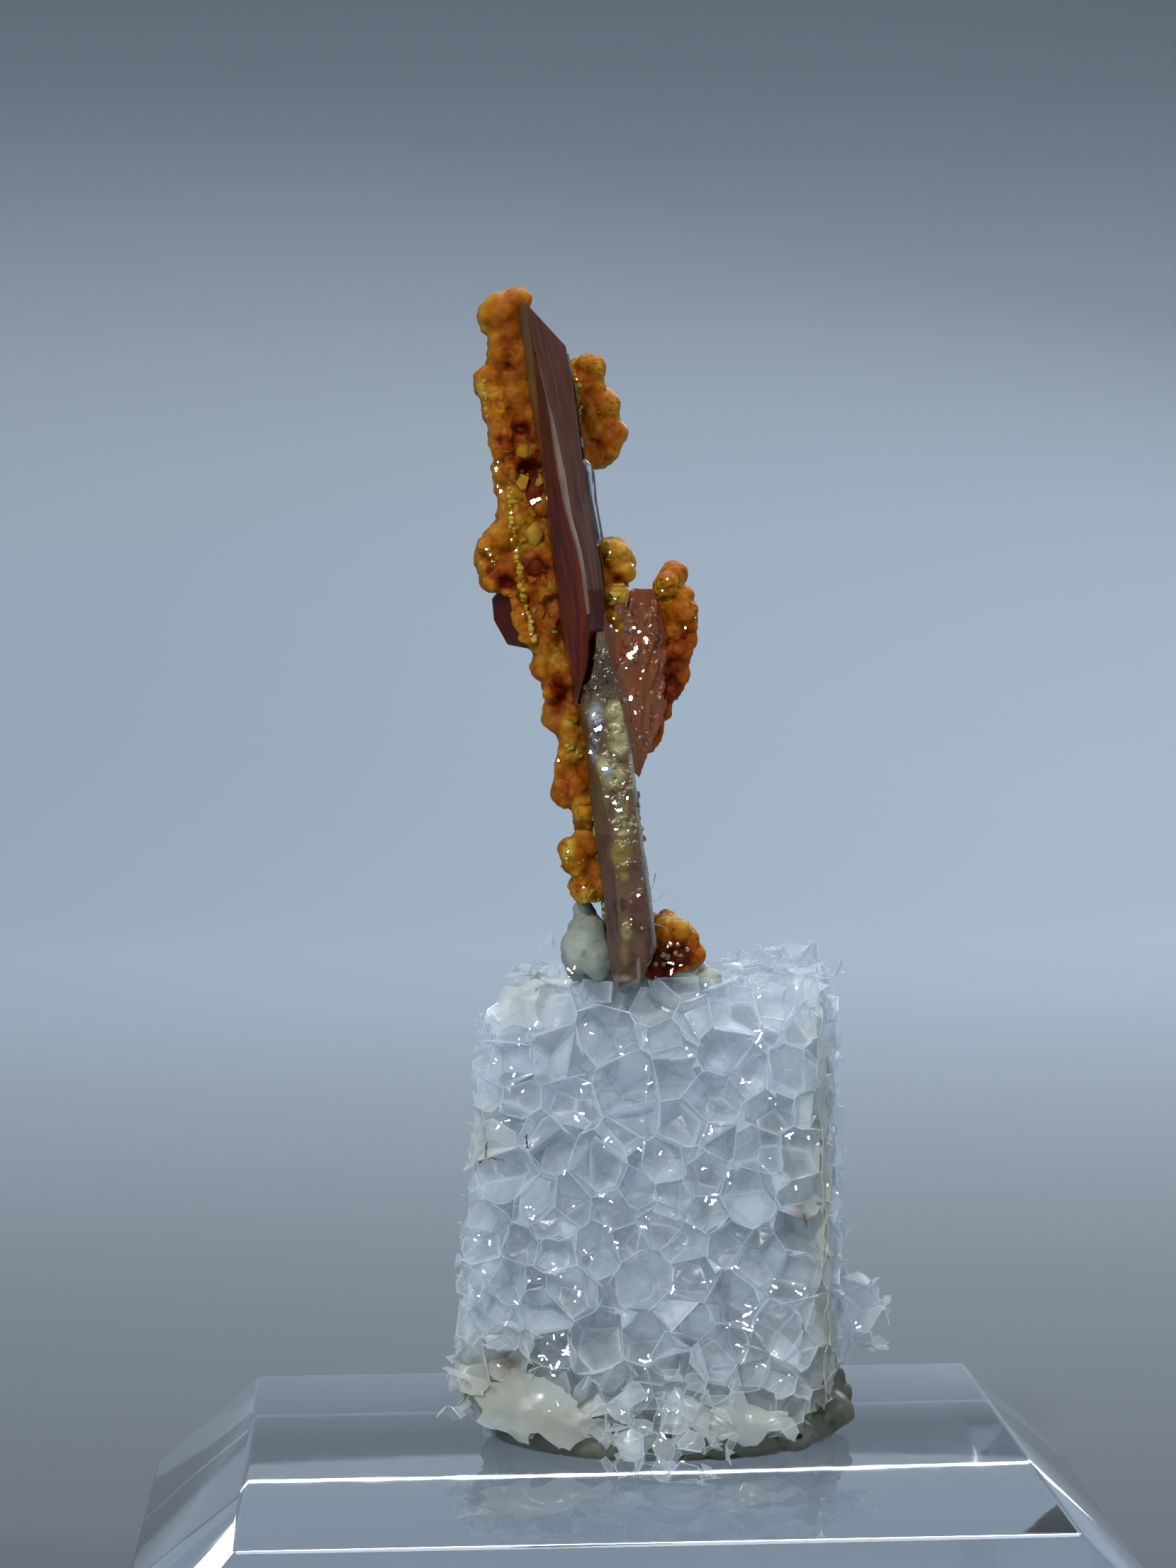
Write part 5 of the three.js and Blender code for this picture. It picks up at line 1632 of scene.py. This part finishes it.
def addSkin(bm, look, dice):
    # low overlapping lumps over the front, set back towards the outline
    outline = look["outline"]
    xs, zs = [p[0] for p in outline], [p[1] for p in outline]
    made = []
    for _ in range(crustGrowth["skinTries"]):
        x, z = dice.uniform(min(xs), max(xs)), dice.uniform(min(zs), max(zs))
        if z > look["skinTop"] or any(math.dist((x, z), other) < look["apart"] for other in made):
            continue
        if not isInside(x, z, outline):
            continue
        made.append((x, z))
        rim = rimGap(x, z, outline)
        front = next(body[2] for body in look["bodies"] if body[0] <= z <= body[1])
        radius = min(dice.uniform(*look["skin"]), rim + 0.06)
        sunk = 1.0 if radius > 0.2 else 0.8
        addBall(bm, (x, front + radius * sunk + max(0.0, 0.4 - rim) * 0.5 + 0.06, z), radius, 3, dice, 0.25)


def backLumps(rows, dice):
    # rows of lumps over the blade's hidden left face
    lumps = []
    for z in np.arange(rows["low"], rows["high"], rows["rise"]):
        for y in np.arange(rows["front"], rows["back"], rows["step"]):
            lumps.append((along(bladeLook["leftLine"], z) - dice.uniform(0.0, 0.12),
                          y + dice.uniform(-0.25, 0.25), z + dice.uniform(-0.25, 0.25),
                          dice.uniform(*crustGrowth["rowRadius"])))
    return lumps


def crestOf(mesh, rounds):
    # how far each point stands out from its neighbours, 0.5 on the flat
    points, normals = pointsOfMesh(mesh), normalsOfMesh(mesh)
    edges = np.empty(len(mesh.edges) * 2, np.int32)
    mesh.edges.foreach_get("vertices", edges)
    a, b = edges.reshape(-1, 2).T
    count = np.bincount(np.concatenate([a, b]), minlength=len(points)).astype(float)
    soft = points.copy()
    for _ in range(rounds):
        total = np.zeros_like(soft)
        np.add.at(total, a, soft[b])
        np.add.at(total, b, soft[a])
        soft = 0.5 * soft + 0.5 * total / count[:, None]
    stand = ((points - soft) * normals).sum(1)
    return np.clip(0.5 + stand / 0.06, 0, 1)


def reliefOf(points, normals, look):
    # the points lifted into small blocky crystals, with dents from the front
    g = crustGrowth
    lift = np.empty(len(points))
    for i, p in enumerate(points):
        v = Vector(p)
        gaps, middles = noise.voronoi(v * g["cells"])
        broad = gaps[0]
        fine = noise.voronoi(v * g["fineCells"])[0][0]
        # each cell stands at its own height, as blocky crystals do
        block = noise.cell(middles[0] * 7.3) * min(1.0, (gaps[1] - gaps[0]) * 6)
        lift[i] = 0.03 * (0.5 - broad) + 0.016 * look["grain"] * (0.4 - fine) + 0.03 * noise.noise(v * 1.6)
        lift[i] = (lift[i] + look["blocky"] * block) * (0.3 if p[2] > g["calmAbove"] else 1.0)
    moved = points + normals * lift[:, None]
    inFront = points[:, 1] < 0.4
    for x, z, radius, depth in look["dents"]:
        moved[:, 1] += depth * np.exp(-awayFrom(points, x, z, radius)) * inFront
    moved[:, 2] = np.minimum(moved[:, 2], g["highest"])
    return moved


def toneOf(points, look):
    # deep orange 0 to yellow 1
    tone = look["tone"] + 0.16 * np.array([noise.noise(Vector(p) * 1.3) for p in points])
    inFront = points[:, 1] < look["bodies"][0][2] + crustGrowth["toneDepth"]
    for x, z, radius, shift in look["spots"]:
        tone += shift * np.exp(-awayFrom(points, x, z, radius)) * inFront
    # painted rim light: yellower near the outline, where light comes through the thin edges
    rim = rimGaps(points[:, 0], points[:, 2], look["outline"])
    tone += look["paintedRimLight"] * np.exp(-(rim / crustGrowth["rimWide"]) ** 2) * inFront
    return np.clip(tone, 0, 1)


def crustMesh(name, look):
    dice = random.Random(look["seed"])
    bm = bmesh.new()
    addBodies(bm, look, dice)
    addSkin(bm, look, dice)
    for *centre, radius in look["lumps"] + (backLumps(look["rows"], dice) if "rows" in look else []):
        addBall(bm, centre, radius * 0.95, 3, dice)
    mesh = melted(meshOf(name, bm), look["voxel"], look["melt"])
    movePoints(mesh, reliefOf(pointsOfMesh(mesh), normalsOfMesh(mesh), look))
    storeValues(mesh, "tone", toneOf(pointsOfMesh(mesh), look))
    storeValues(mesh, "crest", crestOf(mesh, 7))
    plane = look["glintPlane"]

    def addGrains(bm, surface, mark):
        for x, z, radius, tone in look["crystals"]:
            spot = seenFromPhoto(surface, x, plane, z)
            if spot is not None:
                centre = spot + Vector((0, radius * 0.35, 0))
                mark(addCrystal(bm, centre, radius, dice, 15), tone=tone, crest=0.55)
        count, low, high, small, large, deep, pale = look["scatter"]
        for _ in range(count):
            x, z = dice.choice(look["outline"])[0] + dice.uniform(-1.2, 1.2), dice.uniform(low, high)
            radius, tone = dice.uniform(small, large), dice.uniform(deep, pale)
            spot = seenFromPhoto(surface, x, plane, z)
            if spot is not None:
                mark(addCrystal(bm, spot, radius, dice), tone=tone, crest=0.55)
        for x0, z0, x1, z1, number, radius, tone in look["beads"]:
            for i in range(number):
                t = (i + dice.uniform(-0.3, 0.3)) / max(number - 1, 1)
                x = x0 + (x1 - x0) * t + dice.uniform(-0.05, 0.05)
                spot = seenFromPhoto(surface, x, plane, z0 + (z1 - z0) * t)
                if spot is not None:
                    bead = addBall(bm, spot, radius * dice.uniform(0.7, 1.3), 2, dice, 0.3)
                    mark(bead, tone=tone, crest=0.6)
        for x, z, radius in look.get("pebbles", []):
            spot = seenFromPhoto(surface, x, plane, z)
            if spot is not None:
                mark(addCrystal(bm, spot, radius, dice, 20), tone=0.5, crest=0.5, tan=1.0)
        for x, z, size in look["glints"]:
            spot = seenFromPhoto(surface, x, plane, z)
            if spot is not None:
                facet = addGlint(bm, spot - Vector((0, size * 0.5, 0)), size, dice)
                mark(facet, tone=0.9, crest=0.6, glint=1.0)

    return withStuds(mesh, ("tone", "crest", "glint", "tan"), addGrains)


def mimetiteMaterial():
    material, tree, shader = newMaterial("mimetite")
    patches, _ = grainInto(tree, shader, "glint", Patch_Scale=520.0, Grain_Scale=1300.0, Smoothest=0.34,
                           Roughest=0.6, Pit_Scale=3000.0, Pit_Strength=0.4, Pit_Depth=0.00006)
    tone = maths(tree, "MULTIPLY", attributeOf(tree, "tone"), 0.85)
    # painted highlight and shade: yellower on the crests, deeper red in the recesses
    crest = maths(tree, "MULTIPLY_ADD", attributeOf(tree, "crest"), 0.45, -0.225)
    cells = addNode(tree, "ShaderNodeTexVoronoi", feature="F1")
    setInputs(cells, Scale=3600.0)
    tree.links.new(objectPlace(tree), cells.inputs["Vector"])
    flecks = maths(tree, "MULTIPLY_ADD", cells.outputs["Distance"], -0.16, 0.08)
    mottle = maths(tree, "ADD", maths(tree, "MULTIPLY_ADD", patches, 0.6, -0.3), flecks)
    mixed = maths(tree, "ADD", tone, maths(tree, "ADD", crest, mottle), clamp=True)
    colour = rampOf(tree, [(0.0, (0.075, 0.006, 0.0003)), (0.15, (0.16, 0.022, 0.0006)),
                           (0.32, (0.27, 0.058, 0.002)), (0.5, (0.34, 0.105, 0.004)),
                           (0.7, (0.40, 0.18, 0.010)), (1.0, (0.58, 0.38, 0.06))], mixed)
    tanTone = rampOf(tree, [(0.3, (0.26, 0.17, 0.10)), (0.7, (0.48, 0.38, 0.27))], patches)
    colourInto(tree, shader, blendColours(tree, attributeOf(tree, "tan"), colour, tanTone))
    setInputs(shader, IOR=1.6, Specular_IOR_Level=0.07, Subsurface_Weight=0.4, Subsurface_Scale=0.0006,
              Subsurface_Radius=(1.0, 0.35, 0.03))
    return material


mimetite = mimetiteMaterial()
for crustName, crustLook, crustNode in (
        ("mimetite_left_crust_lumps", leftCrustLook, "mimetite_left_crust"),
        ("mimetite_left_patch_lumps", leftPatchLook, "mimetite_left_patch"),
        ("mimetite_right_upper_lumps", rightUpperLook, "mimetite_right_upper"),
        ("mimetite_right_middle_lumps", rightMiddleLook, "mimetite_right_middle"),
        ("mimetite_right_lower_lumps", rightLowerLook, "mimetite_right_lower"),
        ("mimetite_base_lumps", baseClusterLook, "mimetite_base")):
    place(crustName, crustMesh(crustName, crustLook), mimetite, "mimetite", (crustNode,), 50)
print("mimetite made")


# grey-green putty: a squashed disc under the foam and a pressed collar round the crystals' foot

puttyDiscLook = {
    "centre": (1.05, 2.0), "half": (5.68, 4.72), "turn": -8, "bottom": 12.76,
    "levels": [(0, 0.955), (0.2, 0.995), (0.5, 1.0), (0.8, 0.97), (0.98, 0.9)],
    "ears": [
        (6.1, 1.3, 13.9, 0.8), (6.25, 1.6, 14.4, 0.66), (6.3, 0.6, 13.6, 0.66), (6.5, 3.0, 13.6, 0.7),
        (-4.1, 1.4, 13.6, 0.66), (-4.25, 2.8, 13.5, 0.6), (4.9, -1.6, 13.4, 0.62), (2.5, -2.2, 13.2, 0.5),
    ],
    "voxel": 0.1, "crease": 0.03, "seed": 61,
    # shade: painted shade over the whole disc
    "shade": 0.45,
    "holes": [(5.0, 13.46, 0.09), (4.93, 13.42, 0.05)],
}
puttyFootLook = {
    "lumps": [
        (-1.42, -0.75, 28.5, 0.72), (-1.6, -0.45, 28.3, 0.62), (-1.05, -1.15, 28.2, 0.62),
        (-1.38, -0.3, 29.5, 0.42), (-1.34, -0.5, 29.1, 0.56), (-1.25, -0.8, 28.75, 0.6),
        (-1.1, 0.8, 28.0, 0.95), (-0.1, 2.2, 27.8, 1.05), (1.2, 1.4, 27.7, 1.1), (0.1, 0.6, 27.6, 0.9),
        (1.9, 0.2, 27.5, 0.65), (2.45, -0.2, 27.4, 0.45), (-1.45, -0.3, 29.72, 0.3),
    ],
    "bottom": 27.3,
    "voxel": 0.055, "crease": 0.02, "seed": 62,
    "shade": 0.0,
    "holes": [],
}


def puttyMesh(name, bm, look):
    # one skin over all the lumps, with soft folds and small pinholes
    dice = random.Random(look["seed"] + 100)
    mesh = melted(meshOf(name, bm), look["voxel"], 8)
    points, normals = pointsOfMesh(mesh), normalsOfMesh(mesh)
    lift = np.empty(len(points))
    for i, p in enumerate(points):
        v = Vector(p)
        bent = v + noise.noise_vector(v * 0.6) * 0.7
        fold = abs(noise.noise(Vector((bent.x * 0.8, bent.y * 0.8, bent.z * 1.9))))
        lift[i] = look["crease"] * (min(fold * 4, 1.0) - 1.0) + 0.016 * noise.noise(v * 4.0)
    points = points + normals * lift[:, None]
    points[:, 2] = np.maximum(points[:, 2], look["bottom"])
    movePoints(mesh, points)
    storeValues(mesh, "crest", crestOf(mesh, 6))
    storeValues(mesh, "shade", np.full(len(points), look["shade"]))

    def addHoles(bm, surface, mark):
        # the pinholes are small bumps coloured near black by painted shade
        for x, z, radius in look["holes"]:
            spot = seenFromPhoto(surface, x, -2.3, z)
            if spot is not None:
                mark(addBall(bm, spot, radius, 2, dice, 0.3), shade=1.0)

    return withStuds(mesh, ("crest", "shade"), addHoles)


def addLumps(bm, lumps, seed):
    dice = random.Random(seed)
    for *centre, radius in lumps:
        addBall(bm, centre, radius, 3, dice)


def puttyDiscMesh():
    d = puttyDiscLook
    bm = bmesh.new()
    turn = math.radians(d["turn"])
    rows = []
    steps = 64
    for z, scale in d["levels"]:
        row = []
        for i in range(steps):
            angle = 2 * math.pi * i / steps
            uneven = 1 + 0.025 * noise.noise(Vector((math.cos(angle) * 2, math.sin(angle) * 2, z)))
            x = d["half"][0] * scale * uneven * math.cos(angle)
            y = d["half"][1] * scale * uneven * math.sin(angle)
            row.append(bm.verts.new((d["centre"][0] + x * math.cos(turn) - y * math.sin(turn),
                                     d["centre"][1] + x * math.sin(turn) + y * math.cos(turn),
                                     d["bottom"] + z)))
        rows.append(row)
    skinRows(bm, rows)
    addLumps(bm, d["ears"], d["seed"])
    return puttyMesh("puttyDisc", bm, d)


def puttyFootMesh():
    bm = bmesh.new()
    addLumps(bm, puttyFootLook["lumps"], puttyFootLook["seed"])
    return puttyMesh("puttyFoot", bm, puttyFootLook)


def puttyMaterial():
    material, tree, shader = newMaterial("mountingPutty")
    patches, _ = grainInto(tree, shader, Patch_Scale=300.0, Grain_Scale=900.0, Smoothest=0.38,
                           Roughest=0.62, Pit_Scale=2600.0, Pit_Strength=0.15, Pit_Depth=0.00005)
    body = rampOf(tree, [(0.3, (0.17, 0.20, 0.155)), (0.52, (0.30, 0.335, 0.275)),
                         (0.7, (0.52, 0.57, 0.50))], patches)
    # painted shade: darker in the creases and hollows
    crest = rampOf(tree, [(0.25, 0.30), (0.5, 1.0)], attributeOf(tree, "crest"))
    colour = blendColours(tree, 1.0, body, crest, "MULTIPLY")
    specks = rampOf(tree, [(0.70, 1.0), (0.76, 0.15)], noiseOf(tree, 1300.0, 1.0))
    colour = blendColours(tree, 1.0, colour, specks, "MULTIPLY")
    # painted shade: the disc darker all over and the pinholes near black
    paintedShade = rampOf(tree, [(0.0, (1.0, 1.0, 1.0)), (0.45, (0.45, 0.43, 0.40)), (1.0, (0.01, 0.01, 0.01))],
                  attributeOf(tree, "shade"))
    tree.links.new(blendColours(tree, 1.0, colour, paintedShade, "MULTIPLY"), shader.inputs["Base Color"])
    setInputs(shader, Specular_IOR_Level=0.35, Subsurface_Weight=0.15, Subsurface_Scale=0.0004,
              Subsurface_Radius=(1.0, 1.0, 0.8))
    return material


putty = puttyMaterial()
place("putty_base_disc", puttyDiscMesh(), putty, "mounting_putty", ("putty_base",))
place("putty_foot_collar", puttyFootMesh(), putty, "mounting_putty", ("putty_foot",))
print("putty made")


place("foam_plug_cells", makeFoam(), foamMaterial(), "plastic_foam", ("foam_plug",), 35)
print("foam made")
